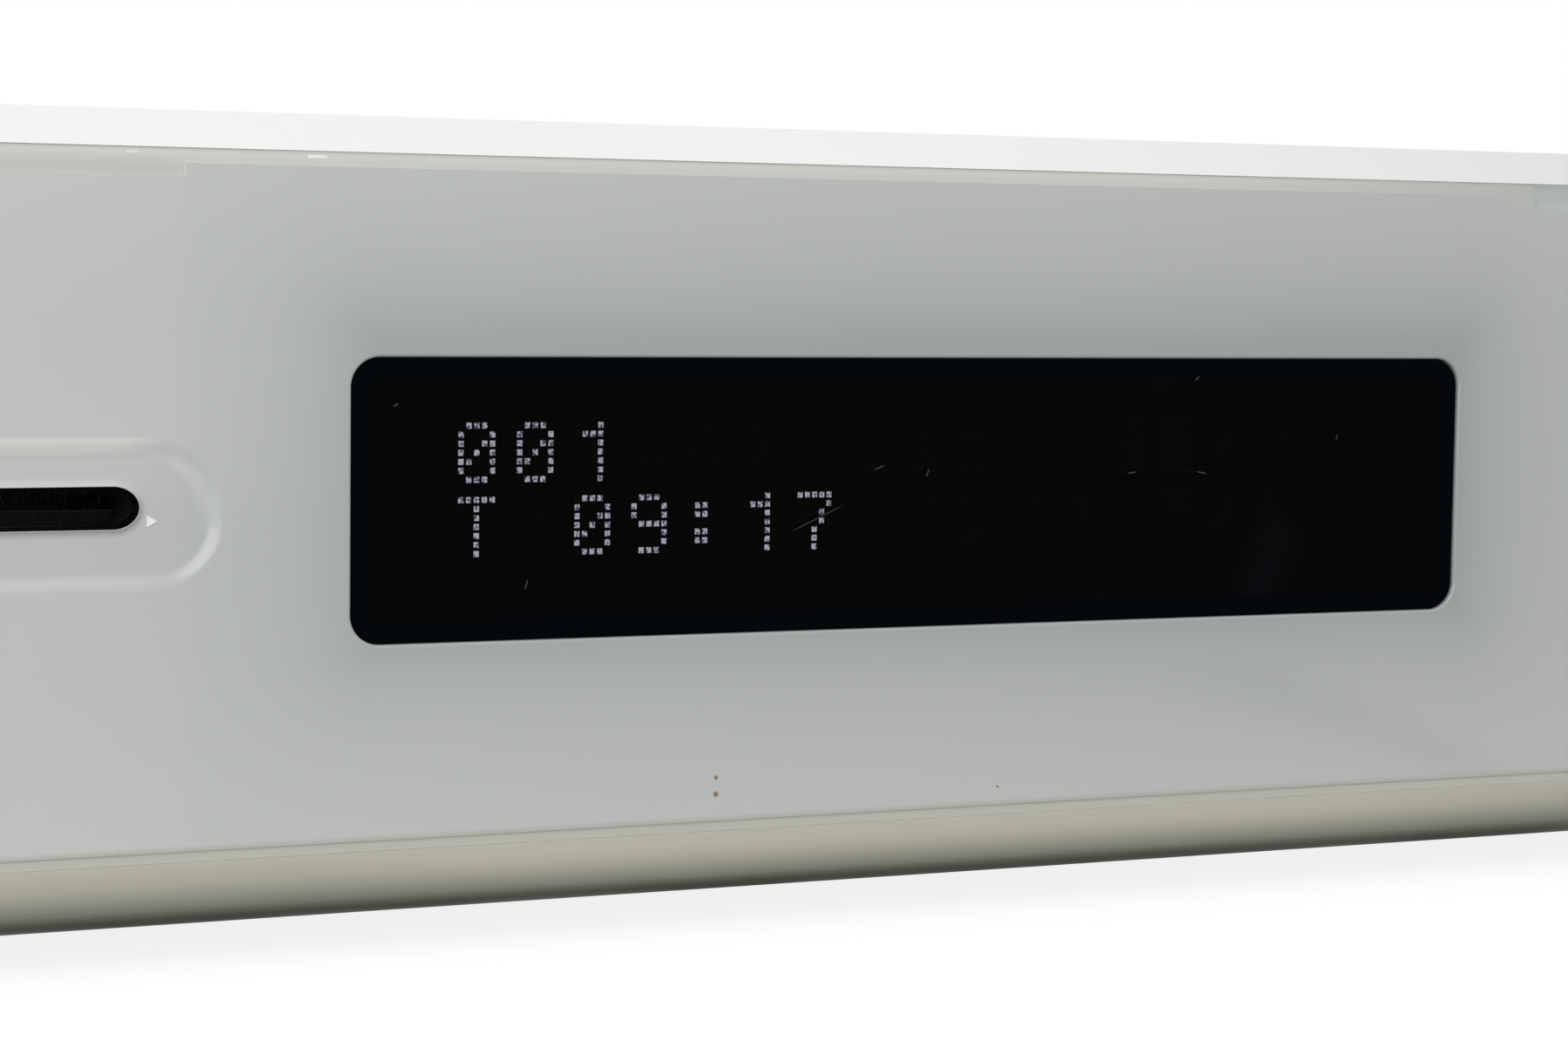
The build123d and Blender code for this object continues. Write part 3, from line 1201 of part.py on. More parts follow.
COVER_HOLE_RADIUS = 20.0
COVER_LIP = 5.0
with BuildPart() as drive_cover:
    out = DRIVE_SHEET + FIT
    block(
        (DRIVE_LEFT - out, DRIVE_FRONT_Y, CHASSIS_TOP_Z - COVER_LIP),
        (DRIVE_RIGHT + out, DRIVE_BACK_Y, DRIVE_TOP_Z),
    )
    block(
        (DRIVE_LEFT - FIT, DRIVE_FRONT_Y, CHASSIS_TOP_Z - COVER_LIP),
        (DRIVE_RIGHT + FIT, DRIVE_BACK_Y, CHASSIS_TOP_Z),
        mode=Mode.SUBTRACT,
    )
    rod((SLOT_X, DISC_Y, CHASSIS_TOP_Z), (0, 0, 1), COVER_HOLE_RADIUS, DRIVE_SHEET, mode=Mode.SUBTRACT)

# Boards inside, each on the lower shell's posts
def board_slab(box):
    """A circuit board on its posts, with a screw hole near each corner."""
    x0, x1, y0, y1 = box
    block((x0, y0, BOARD_Z), (x1, y1, BOARD_TOP_Z))
    for x, y in corners(box, POST_INSET):
        rod((x, y, BOARD_Z), (0, 0, 1), SCREW_RADIUS + SCREW_CLEARANCE, BOARD_THICK, mode=Mode.SUBTRACT)


with BuildPart() as main_board:
    board_slab(MAIN_BOARD)

with BuildPart() as power_board:
    board_slab(POWER_BOARD)

with BuildPart() as amplifier_board:
    board_slab(AMPLIFIER_BOARD)
    block(
        (TERMINAL_EDGE_X, AMPLIFIER_BOARD[3], BOARD_Z),
        (AMPLIFIER_BOARD[1], BOARD_EDGE_Y, BOARD_TOP_Z),
    )

# Heat sink: an extrusion whose fins run front to back, in the fan's draught
SINK_SET_X = 28.0  # middle of the heat sink, from the amplifier board's left edge
SINK_SET_Y = 14.0
SINK_WIDTH = 50.0
SINK_LENGTH = 60.0
SINK_BASE = 5.0
SINK_HEIGHT = 50.0
FIN_THICK = 1.6
FIN_COUNT = 8
SINK_X = AMPLIFIER_BOARD[0] + SINK_SET_X
SINK_START_Y = AMPLIFIER_BOARD[2] + SINK_SET_Y
with BuildPart() as heat_sink:
    block(
        (SINK_X - SINK_WIDTH / 2, SINK_START_Y, BOARD_TOP_Z),
        (SINK_X + SINK_WIDTH / 2, SINK_START_Y + SINK_LENGTH, BOARD_TOP_Z + SINK_BASE),
    )
    fin_step = (SINK_WIDTH - FIN_THICK) / (FIN_COUNT - 1)
    for index in range(FIN_COUNT):
        fin_x = SINK_X - SINK_WIDTH / 2 + index * fin_step
        block(
            (fin_x, SINK_START_Y, BOARD_TOP_Z + SINK_BASE),
            (fin_x + FIN_THICK, SINK_START_Y + SINK_LENGTH, BOARD_TOP_Z + SINK_HEIGHT),
        )

# Transformer: a ferrite core with its winding between the legs
TRANSFORMER_SET_X = 46.0  # from the power board's front left corner
TRANSFORMER_SET_Y = 54.0
CORE_WIDTH = 42.0
CORE_DEPTH = 20.0
CORE_HEIGHT = 36.0
CORE_LEG = 7.0
WINDING_RADIUS = 13.0
TRANSFORMER_X = POWER_BOARD[0] + TRANSFORMER_SET_X
TRANSFORMER_Y = POWER_BOARD[2] + TRANSFORMER_SET_Y
with BuildPart() as transformer:
    block(
        (TRANSFORMER_X - CORE_WIDTH / 2, TRANSFORMER_Y - CORE_DEPTH / 2, BOARD_TOP_Z),
        (TRANSFORMER_X + CORE_WIDTH / 2, TRANSFORMER_Y + CORE_DEPTH / 2, BOARD_TOP_Z + CORE_HEIGHT),
    )
    block(
        (
            TRANSFORMER_X - CORE_WIDTH / 2 + CORE_LEG,
            TRANSFORMER_Y - CORE_DEPTH / 2,
            BOARD_TOP_Z + CORE_LEG,
        ),
        (
            TRANSFORMER_X + CORE_WIDTH / 2 - CORE_LEG,
            TRANSFORMER_Y + CORE_DEPTH / 2,
            BOARD_TOP_Z + CORE_HEIGHT - CORE_LEG,
        ),
        mode=Mode.SUBTRACT,
    )
    rod(
        (TRANSFORMER_X, TRANSFORMER_Y, BOARD_TOP_Z + CORE_LEG),
        (0, 0, 1),
        WINDING_RADIUS,
        CORE_HEIGHT - 2 * CORE_LEG,
    )

# Reservoir capacitors (x and y from the power board's front left corner, radius, height)
CAPACITORS = (
    (91.0, 49.0, 11.0, 36.0),
    (118.0, 49.0, 11.0, 36.0),
    (91.0, 86.0, 6.5, 25.0),
    (108.0, 86.0, 6.5, 25.0),
    (125.0, 86.0, 6.5, 25.0),
)
with BuildPart() as capacitors:
    for x, y, radius, height in CAPACITORS:
        rod((POWER_BOARD[0] + x, POWER_BOARD[2] + y, BOARD_TOP_Z), (0, 0, 1), radius, height)

# Rear sockets: each stands on its board and reaches through the panel.
# The insets run from the left-hand end, as seen from the front, to the middle of a socket.
SHELL_PROUD = 0.6
VIDEO_INSET = 82.0
VIDEO_WIDTH = 15.0
VIDEO_HEIGHT = 6.2
VIDEO_DEPTH = 12.0
VIDEO_TONGUE = 1.2
VIDEO_TONGUE_WIDTH = 12.0
NETWORK_INSET = 54.0
NETWORK_WIDTH = 16.0
NETWORK_HEIGHT = 13.6
NETWORK_DEPTH = 21.0
NETWORK_WALL = 1.8
OPTICAL_INSET = 104.0
OPTICAL_WIDTH = 9.8
OPTICAL_HEIGHT = 10.2
OPTICAL_DEPTH = 13.0
OPTICAL_SHUTTER = 6.0
OPTICAL_RECESS = 1.0
PHONO_INSETS = (128.0, 144.0)
PHONO_BLOCK_WIDTH = 11.0
PHONO_BLOCK_DEPTH = 12.0
PHONO_PITCH = 14.0
PHONO_RISE = 8.0
PHONO_RADIUS = 4.15
PHONO_BORE = 1.65
ANTENNA_INSET = 25.0
ANTENNA_CAN = 13.0
ANTENNA_RADIUS = 4.7
ANTENNA_BORE = 0.8
SPEAKER_HEIGHT = 27.0
SPEAKER_DEPTH = 14.0
SPEAKER_HOLE_WIDTH = 9.0
SPEAKER_HOLE_HEIGHT = 3.6
SPEAKER_HOLE_DEPTH = 9.0
SPEAKER_COLUMNS = 3
SPEAKER_ROWS = 2
SPEAKER_PITCH_X = 17.0
SPEAKER_PITCH_Z = 12.0
INLET_INSET = 28.0  # from the right-hand end
INLET_RISE = 20.0
INLET_WIDTH = 24.0
INLET_HEIGHT = 17.0
INLET_DEPTH = 20.0
INLET_CAVITY_WIDTH = 15.4
INLET_CAVITY_HEIGHT = 7.6
INLET_CAVITY_DEPTH = 12.0
INLET_PIN_RADIUS = 1.2
INLET_PIN_PITCH = 8.6
PANEL_GAP = 0.2
VIDEO_X = LEFT_X + VIDEO_INSET
NETWORK_X = LEFT_X + NETWORK_INSET
OPTICAL_X = LEFT_X + OPTICAL_INSET
ANTENNA_X = LEFT_X + ANTENNA_INSET
PHONO_XS = [LEFT_X + inset for inset in PHONO_INSETS]
INLET_X = RIGHT_X - INLET_INSET
VIDEO_Z = BOARD_TOP_Z + VIDEO_HEIGHT / 2
NETWORK_Z = BOARD_TOP_Z + NETWORK_HEIGHT / 2
OPTICAL_Z = BOARD_TOP_Z + OPTICAL_HEIGHT / 2
PHONO_ZS = (BOARD_TOP_Z + PHONO_RISE, BOARD_TOP_Z + PHONO_RISE + PHONO_PITCH)
PHONO_TOP_Z = PHONO_ZS[-1] + PHONO_BLOCK_WIDTH / 2
ANTENNA_Z = BOARD_TOP_Z + ANTENNA_CAN / 2
SPEAKER_Z = BOARD_TOP_Z + SPEAKER_HEIGHT / 2
INLET_Z = FLOOR_Z + INLET_RISE
SHELL_BACK_Y = BACK_Y + SHELL_PROUD


def rear_body(x, z, width, height, depth, back):
    """The box of a rear socket, which ends at a given distance to the back."""
    block((x - width / 2, PANEL_Y - depth, z - height / 2), (x + width / 2, back, z + height / 2))


def rear_cavity(x, z, width, height, depth, back):
    """The hollow that a plug goes into, from the back."""
    block(
        (x - width / 2, back - depth, z - height / 2),
        (x + width / 2, back, z + height / 2),
        mode=Mode.SUBTRACT,
    )


with BuildPart() as video_port:
    rear_body(VIDEO_X, VIDEO_Z, VIDEO_WIDTH, VIDEO_HEIGHT, VIDEO_DEPTH, SHELL_BACK_Y)
    rear_cavity(
        VIDEO_X,
        VIDEO_Z,
        VIDEO_WIDTH - 2 * MEDIA_WALL,
        VIDEO_HEIGHT - 2 * MEDIA_WALL,
        VIDEO_DEPTH,
        SHELL_BACK_Y,
    )
    rear_body(
        VIDEO_X,
        VIDEO_Z,
        VIDEO_TONGUE_WIDTH,
        VIDEO_TONGUE,
        VIDEO_DEPTH,
        BACK_Y - 2 * SHELL_PROUD,
    )

with BuildPart() as network_port:
    rear_body(NETWORK_X, NETWORK_Z, NETWORK_WIDTH, NETWORK_HEIGHT, NETWORK_DEPTH, SHELL_BACK_Y)
    rear_cavity(
        NETWORK_X,
        NETWORK_Z,
        NETWORK_WIDTH - 2 * NETWORK_WALL,
        NETWORK_HEIGHT - 2 * NETWORK_WALL,
        NETWORK_DEPTH - 2 * NETWORK_WALL,
        SHELL_BACK_Y,
    )

with BuildPart() as optical_port:
    rear_body(OPTICAL_X, OPTICAL_Z, OPTICAL_WIDTH, OPTICAL_HEIGHT, OPTICAL_DEPTH, SHELL_BACK_Y)
    rear_cavity(OPTICAL_X, OPTICAL_Z, OPTICAL_SHUTTER, OPTICAL_SHUTTER, OPTICAL_RECESS, SHELL_BACK_Y)

with BuildPart() as phono_jacks:
    for x in PHONO_XS:
        block(
            (x - PHONO_BLOCK_WIDTH / 2, PANEL_Y - PHONO_BLOCK_DEPTH, BOARD_TOP_Z),
            (x + PHONO_BLOCK_WIDTH / 2, PANEL_Y, PHONO_TOP_Z),
        )
        for z in PHONO_ZS:
            rod((x, PANEL_Y, z), (0, 1, 0), PHONO_RADIUS, PANEL_SHEET + REAR_REACH)
            rod(
                (x, BACK_Y + REAR_REACH, z),
                (0, -1, 0),
                PHONO_BORE,
                REAR_REACH + PANEL_SHEET,
                mode=Mode.SUBTRACT,
            )

with BuildPart() as antenna_jack:
    block(
        (ANTENNA_X - ANTENNA_CAN / 2, PANEL_Y - ANTENNA_CAN, BOARD_TOP_Z),
        (ANTENNA_X + ANTENNA_CAN / 2, PANEL_Y, BOARD_TOP_Z + ANTENNA_CAN),
    )
    rod((ANTENNA_X, PANEL_Y, ANTENNA_Z), (0, 1, 0), ANTENNA_RADIUS, PANEL_SHEET + REAR_REACH)
    rod(
        (ANTENNA_X, BACK_Y + REAR_REACH, ANTENNA_Z),
        (0, -1, 0),
        ANTENNA_BORE,
        REAR_REACH,
        mode=Mode.SUBTRACT,
    )

with BuildPart() as speaker_sockets:
    rear_body(SPEAKER_X, SPEAKER_Z, SPEAKER_WIDTH, SPEAKER_HEIGHT, SPEAKER_DEPTH, SHELL_BACK_Y)
    for column in range(SPEAKER_COLUMNS):
        for row in range(SPEAKER_ROWS):
            rear_cavity(
                SPEAKER_X + (column - (SPEAKER_COLUMNS - 1) / 2) * SPEAKER_PITCH_X,
                SPEAKER_Z + (row - (SPEAKER_ROWS - 1) / 2) * SPEAKER_PITCH_Z,
                SPEAKER_HOLE_WIDTH,
                SPEAKER_HOLE_HEIGHT,
                SPEAKER_HOLE_DEPTH,
                SHELL_BACK_Y,
            )

with BuildPart() as mains_inlet:
    rear_body(INLET_X, INLET_Z, INLET_WIDTH, INLET_HEIGHT, INLET_DEPTH, SHELL_BACK_Y)
    with BuildSketch(Plane(origin=(INLET_X, SHELL_BACK_Y, INLET_Z), x_dir=(-1, 0, 0), z_dir=(0, 1, 0))):
        SlotOverall(INLET_CAVITY_WIDTH, INLET_CAVITY_HEIGHT)
    extrude(amount=-INLET_CAVITY_DEPTH, mode=Mode.SUBTRACT)
    for side in (-1, 1):
        rod(
            (INLET_X + side * INLET_PIN_PITCH / 2, SHELL_BACK_Y - INLET_CAVITY_DEPTH, INLET_Z),
            (0, 1, 0),
            INLET_PIN_RADIUS,
            INLET_CAVITY_DEPTH - 2 * SHELL_PROUD,
        )

# Mains leads: two insulated wires from the inlet to the power board
WIRE_RADIUS = 1.3
WIRE_BEND = 6.0
WIRE_STRAIGHT = 24.0
WIRE_INSET = 8.0
WIRE_JOG = 6.0
WIRE_END_Y = POWER_BOARD[3] - WIRE_INSET
with BuildPart() as mains_leads:
    for side in (-1, 1):
        lead_x = INLET_X + side * INLET_PIN_PITCH / 2
        with BuildLine():
            path = FilletPolyline(
                (lead_x, PANEL_Y - INLET_DEPTH, INLET_Z),
                (lead_x, PANEL_Y - INLET_DEPTH - WIRE_STRAIGHT, INLET_Z),
                (lead_x - WIRE_JOG, WIRE_END_Y + WIRE_STRAIGHT, INLET_Z),
                (lead_x - WIRE_JOG, WIRE_END_Y, INLET_Z),
                (lead_x - WIRE_JOG, WIRE_END_Y, BOARD_TOP_Z),
                radius=WIRE_BEND,
            )
        with BuildSketch(Plane(origin=path @ 0, z_dir=path % 0)):
            Circle(WIRE_RADIUS)
        sweep()

# Flat cables: one from the display to the main board, one from the drive
CABLE_THICK = 0.5
CABLE_WIDTH = 12.0
CABLE_INSET = 0.1  # inside the display board's left edge, clear of its screws
CABLE_X = WINDOW_X - DISPLAY_BOARD_WIDTH / 2 + CABLE_INSET
DRIVE_CABLE_X = -40.0
DRIVE_CABLE_Z = 36.0
DRIVE_CABLE_SET = 14.0
with BuildPart() as flat_cables:
    display_back_y = DISPLAY_BOARD_Y + BOARD_THICK
    block(
        (CABLE_X, display_back_y, BOARD_Z),
        (CABLE_X + CABLE_THICK, MAIN_BOARD[2], BOARD_Z + CABLE_WIDTH),
    )
    block(
        (DRIVE_CABLE_X - CABLE_WIDTH, DRIVE_BACK_Y, DRIVE_CABLE_Z),
        (DRIVE_CABLE_X + CABLE_WIDTH, DRIVE_BACK_Y + DRIVE_CABLE_SET, DRIVE_CABLE_Z + CABLE_THICK),
    )
    block(
        (
            DRIVE_CABLE_X - CABLE_WIDTH,
            DRIVE_BACK_Y + DRIVE_CABLE_SET - CABLE_THICK,
            BOARD_TOP_Z,
        ),
        (
            DRIVE_CABLE_X + CABLE_WIDTH,
            DRIVE_BACK_Y + DRIVE_CABLE_SET,
            DRIVE_CABLE_Z,
        ),
    )

# Fan: a square frame against the rear panel, with its rotor on a spindle in the frame's hub
FAN_SET = 25.0  # middle of the fan, from the right-hand boards' left edge
FAN_SIZE = 60.0
FAN_DEPTH = 15.0
FAN_BORE = 28.5
FAN_RISE = 38.0
FAN_HUB_RADIUS = 12.5
FAN_HUB_BASE = 2.5
FAN_STRUT = 3.0
FAN_BEARING_RADIUS = 3.0
FAN_SPINDLE_RADIUS = 1.5
FAN_HUB_GAP = 0.5
FAN_CUP_WALL = 1.6
FAN_SWEEP = 27.3
BLADE_COUNT = 7
BLADE_THICK = 1.2
BLADE_CHORD = 12.0
BLADE_PITCH = 35.0
FAN_CORNER = 25.0  # screw holes, from the middle of the fan
FAN_X = SUPPLY_LEFT + FAN_SET
FAN_Z = FLOOR_Z + FAN_RISE
FAN_PLANE = Plane(origin=(FAN_X, PANEL_Y, FAN_Z), x_dir=(1, 0, 0), z_dir=(0, -1, 0))
FAN_ROTOR_PLANE = FAN_PLANE.offset(FAN_HUB_BASE + FAN_HUB_GAP)
FAN_ROTOR_DEPTH = FAN_DEPTH - FAN_HUB_BASE - 2 * FAN_HUB_GAP

with BuildPart() as fan_frame:
    with BuildSketch(FAN_PLANE):
        RectangleRounded(FAN_SIZE, FAN_SIZE, FAN_STRUT)
        Circle(FAN_BORE, mode=Mode.SUBTRACT)
        with GridLocations(2 * FAN_CORNER, 2 * FAN_CORNER, 2, 2):
            Circle(SCREW_RADIUS + SCREW_CLEARANCE, mode=Mode.SUBTRACT)
    extrude(amount=FAN_DEPTH)
    with BuildSketch(FAN_PLANE):
        Circle(FAN_HUB_RADIUS)
        Rectangle(2 * FAN_BORE + FAN_STRUT, FAN_STRUT)
        Rectangle(FAN_STRUT, 2 * FAN_BORE + FAN_STRUT)
    extrude(amount=FAN_HUB_BASE)
    with BuildSketch(FAN_PLANE):
        Circle(FAN_BEARING_RADIUS)
    extrude(amount=FAN_DEPTH - 2 * FAN_HUB_BASE)
    with BuildSketch(FAN_PLANE.offset(FAN_HUB_GAP)):
        Circle(FAN_SPINDLE_RADIUS + RUNNING_FIT)
    extrude(amount=FAN_DEPTH, mode=Mode.SUBTRACT)

with BuildPart() as fan_rotor:
    with BuildSketch(FAN_ROTOR_PLANE):
        Circle(FAN_HUB_RADIUS)
    extrude(amount=FAN_ROTOR_DEPTH)
    with BuildSketch(FAN_ROTOR_PLANE):
        Circle(FAN_HUB_RADIUS - FAN_CUP_WALL)
    extrude(amount=FAN_ROTOR_DEPTH - FAN_CUP_WALL, mode=Mode.SUBTRACT)
    with BuildSketch(FAN_PLANE.offset(2 * FAN_HUB_GAP)):
        Circle(FAN_SPINDLE_RADIUS)
    extrude(amount=FAN_DEPTH - FAN_CUP_WALL - FAN_HUB_GAP)
    blade_plane = FAN_ROTOR_PLANE.offset(FAN_ROTOR_DEPTH / 2)
    blade_length = FAN_SWEEP - FAN_HUB_RADIUS + FAN_CUP_WALL / 2
    for index in range(BLADE_COUNT):
        turned = blade_plane.location * Location((0, 0, 0), (0, 0, index * 360 / BLADE_COUNT))
        with Locations(turned * Location((FAN_SWEEP - blade_length / 2, 0, 0), (BLADE_PITCH, 0, 0))):
            Box(blade_length, BLADE_CHORD, BLADE_THICK)

# Rear panel: a steel sheet with a hole for each socket, the fan's grille and the screws
GRILLE_SLOTS = 9
GRILLE_PITCH = 5.6
GRILLE_SLOT = 3.0
REAR_SCREW_PLACES = [(x, z) for x in REAR_BOSS_X for z in (REAR_BOSS_FOOT_Z, REAR_BOSS_TOP_Z)]
FAN_SCREW_PLACES = [
    (FAN_X + dx * FAN_CORNER, FAN_Z + dz * FAN_CORNER) for dx in (-1, 1) for dz in (-1, 1)
]
REAR_HOLES = (
    (VIDEO_X, VIDEO_Z, VIDEO_WIDTH, VIDEO_HEIGHT),
    (NETWORK_X, NETWORK_Z, NETWORK_WIDTH, NETWORK_HEIGHT),
    (OPTICAL_X, OPTICAL_Z, OPTICAL_WIDTH, OPTICAL_HEIGHT),
    (SPEAKER_X, SPEAKER_Z, SPEAKER_WIDTH, SPEAKER_HEIGHT),
    (INLET_X, INLET_Z, INLET_WIDTH, INLET_HEIGHT),
)
ROUND_REAR_HOLES = [(x, z, PHONO_RADIUS) for x in PHONO_XS for z in PHONO_ZS] + [
    (ANTENNA_X, ANTENNA_Z, ANTENNA_RADIUS)
]

with BuildPart() as rear_panel:
    block((-INNER_HALF, PANEL_Y, FLOOR_Z), (INNER_HALF, BACK_Y, CEILING_Z - FIT))
    for x, z, width, height in REAR_HOLES:
        block(
            (x - width / 2 - PANEL_GAP, PANEL_Y, z - height / 2 - PANEL_GAP),
            (x + width / 2 + PANEL_GAP, BACK_Y, z + height / 2 + PANEL_GAP),
            mode=Mode.SUBTRACT,
        )
    for x, z, radius in ROUND_REAR_HOLES:
        rod((x, PANEL_Y, z), (0, 1, 0), radius + PANEL_GAP, PANEL_SHEET, mode=Mode.SUBTRACT)
    for x, z in REAR_SCREW_PLACES + FAN_SCREW_PLACES:
        rod(
            (x, PANEL_Y, z),
            (0, 1, 0),
            SCREW_RADIUS + SCREW_CLEARANCE,
            PANEL_SHEET,
            mode=Mode.SUBTRACT,
        )
    with BuildSketch(FAN_PLANE):
        for index in range(GRILLE_SLOTS):
            offset_z = (index - (GRILLE_SLOTS - 1) / 2) * GRILLE_PITCH
            half_chord = (FAN_BORE**2 - offset_z**2) ** 0.5 - GRILLE_SLOT / 2
            with Locations((0, offset_z)):
                SlotOverall(2 * half_chord, GRILLE_SLOT)
    extrude(amount=-PANEL_SHEET, mode=Mode.SUBTRACT)

# Screws, in groups
with BuildPart() as cover_screws:
    for side in (-1, 1):
        for y in (-COVER_TAB_Y, COVER_TAB_Y):
            screw((side * WIDTH / 2, y, SIDE_SCREW_Z), (-side, 0, 0))

with BuildPart() as rear_screws:
    for x, z in REAR_SCREW_PLACES + FAN_SCREW_PLACES:
        screw((x, BACK_Y, z), (0, -1, 0))

with BuildPart() as inner_screws:
    for x, y in BOARD_POSTS:
        screw((x, y, BOARD_TOP_Z), (0, 0, -1))
    for x, y in corners(DRIVE_BOX, DRIVE_POST_INSET):
        screw((x, y, DRIVE_INNER_Z), (0, 0, -1))
    for x, z in DISPLAY_POSTS:
        screw((x, DISPLAY_BOARD_Y + BOARD_THICK, z), (0, -1, 0))
    for x, z in KEY_POSTS:
        screw((x, KEY_BOARD_Y + BOARD_THICK, z), (0, -1, 0))

PIECES = {
    "top_cover": top_cover,
    "lower_shell": lower_shell,
    "rear_panel": rear_panel,
    "front_carrier": front_carrier,
    "front_fascia": front_fascia,
    "display_lens": display_lens,
    "display_tube": display_tube,
    "display_board": display_board,
    "slot_liner": slot_liner,
    "dust_lips": dust_lips,
    "feet": feet,
    "foot_pads": foot_pads,
    "key_switches": key_switches,
    "key_boards": key_boards,
    "media_port": media_port,
    "headphone_jack": headphone_jack,
    "main_board": main_board,
    "power_board": power_board,
    "amplifier_board": amplifier_board,
    "heat_sink": heat_sink,
    "transformer": transformer,
    "capacitors": capacitors,
    "video_port": video_port,
    "network_port": network_port,
    "optical_port": optical_port,
    "phono_jacks": phono_jacks,
    "antenna_jack": antenna_jack,
    "speaker_sockets": speaker_sockets,
    "mains_inlet": mains_inlet,
    "mains_leads": mains_leads,
    "flat_cables": flat_cables,
    "fan_frame": fan_frame,
    "fan_rotor": fan_rotor,
    "drive_chassis": drive_chassis,
    "drive_cover": drive_cover,
    "roller_shaft": roller_shaft,
    "feed_roller": feed_roller,
    "loading_gear": loading_gear,
    "motor_pinion": motor_pinion,
    "loading_motor": loading_motor,
    "traverse_frame": traverse_frame,
    "spindle_motor": spindle_motor,
    "turntable": turntable,
    "guide_rods": guide_rods,
    "pickup_sled": pickup_sled,
    "pickup_lens": pickup_lens,
    "lead_screw": lead_screw,
    "sled_motor": sled_motor,
    "clamp_arm": clamp_arm,
    "clamp_pin": clamp_pin,
    "clamper": clamper,
    "cover_screws": cover_screws,
    "rear_screws": rear_screws,
    "inner_screws": inner_screws,
    **buttons,
}

os.makedirs("parts", exist_ok=True)
for name, piece in PIECES.items():
    piece.part.label = name
    export_step(piece.part, f"parts/{name}.step")
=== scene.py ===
# %% [markdown]
# # A disc receiver, dressed for its photograph
#
# The construction comes packed from CAD: sixty nodes on seventeen bodies, at their real size.
# This lesson dresses it. The frame is loaded first and never moved. New pieces are modelled
# over the nodes that show most, each rides on the body that it belongs to, and every other
# node keeps its mesh and gets a finish of its own.

# %% Load the frame
from math import cos, radians, sin

import bmesh
import bpy
from mathutils import Matrix, Vector


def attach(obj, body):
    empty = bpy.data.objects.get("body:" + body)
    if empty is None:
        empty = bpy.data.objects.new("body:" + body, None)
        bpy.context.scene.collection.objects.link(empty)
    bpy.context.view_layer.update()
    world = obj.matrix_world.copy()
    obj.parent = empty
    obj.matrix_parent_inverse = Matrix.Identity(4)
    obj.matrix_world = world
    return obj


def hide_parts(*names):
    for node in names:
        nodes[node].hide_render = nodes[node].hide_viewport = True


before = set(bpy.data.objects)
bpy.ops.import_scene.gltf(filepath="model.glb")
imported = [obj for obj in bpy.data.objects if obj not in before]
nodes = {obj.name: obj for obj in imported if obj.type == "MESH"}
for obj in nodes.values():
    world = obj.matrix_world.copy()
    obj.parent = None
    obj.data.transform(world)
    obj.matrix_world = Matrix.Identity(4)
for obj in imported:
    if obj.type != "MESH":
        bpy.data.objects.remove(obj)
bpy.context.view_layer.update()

# %% [markdown]
# ## The camera
#
# The photograph is a close-up of the front from the left, slightly above the middle, with a
# long lens. The place and the angles came from lining up the window's corners, the end of the
# slot and the long edges. Turning, tipping and rolling are three separate turns, so they are
# multiplied in that order instead of being read as one set of Euler angles.

# %% Camera
MM = 0.001
SENSOR = 36.0
LENS = 78.5
CAMERA_PLACE = Vector((-91.38, -462.89, 70.03)) * MM
TURN_RIGHT, TIP_DOWN, ROLL = radians(24.18), radians(4.17), radians(0.76)

eye = bpy.data.cameras.new("camera")
eye.sensor_width = SENSOR
eye.lens = LENS
eye.clip_start, eye.clip_end = 0.01, 20.0
camera = bpy.data.objects.new("camera", eye)
camera.matrix_world = (
    Matrix.Translation(CAMERA_PLACE)
    @ Matrix.Rotation(-TURN_RIGHT, 4, "Z")
    @ Matrix.Rotation(radians(90) - TIP_DOWN, 4, "X")
    @ Matrix.Rotation(ROLL, 4, "Z")
)
bpy.context.scene.collection.objects.link(camera)
bpy.context.scene.camera = camera
bpy.context.scene.view_settings.view_transform = "Standard"
print("camera at", [round(v, 3) for v in camera.location])

# %% [markdown]
# ## Shader maths as Python
#
# Long node trees are hard to read, so one small class wraps a socket. Python's operators on it
# add Math nodes, and `add` makes any other node: its settings first, then its sockets. Numbers
# alone are worked out in Python and never become nodes.

# %% Shader helper
MIX_INPUTS, MIX_OUTPUT = (0, 6, 7), 2  # a Mix node's share and two colours, and what it gives


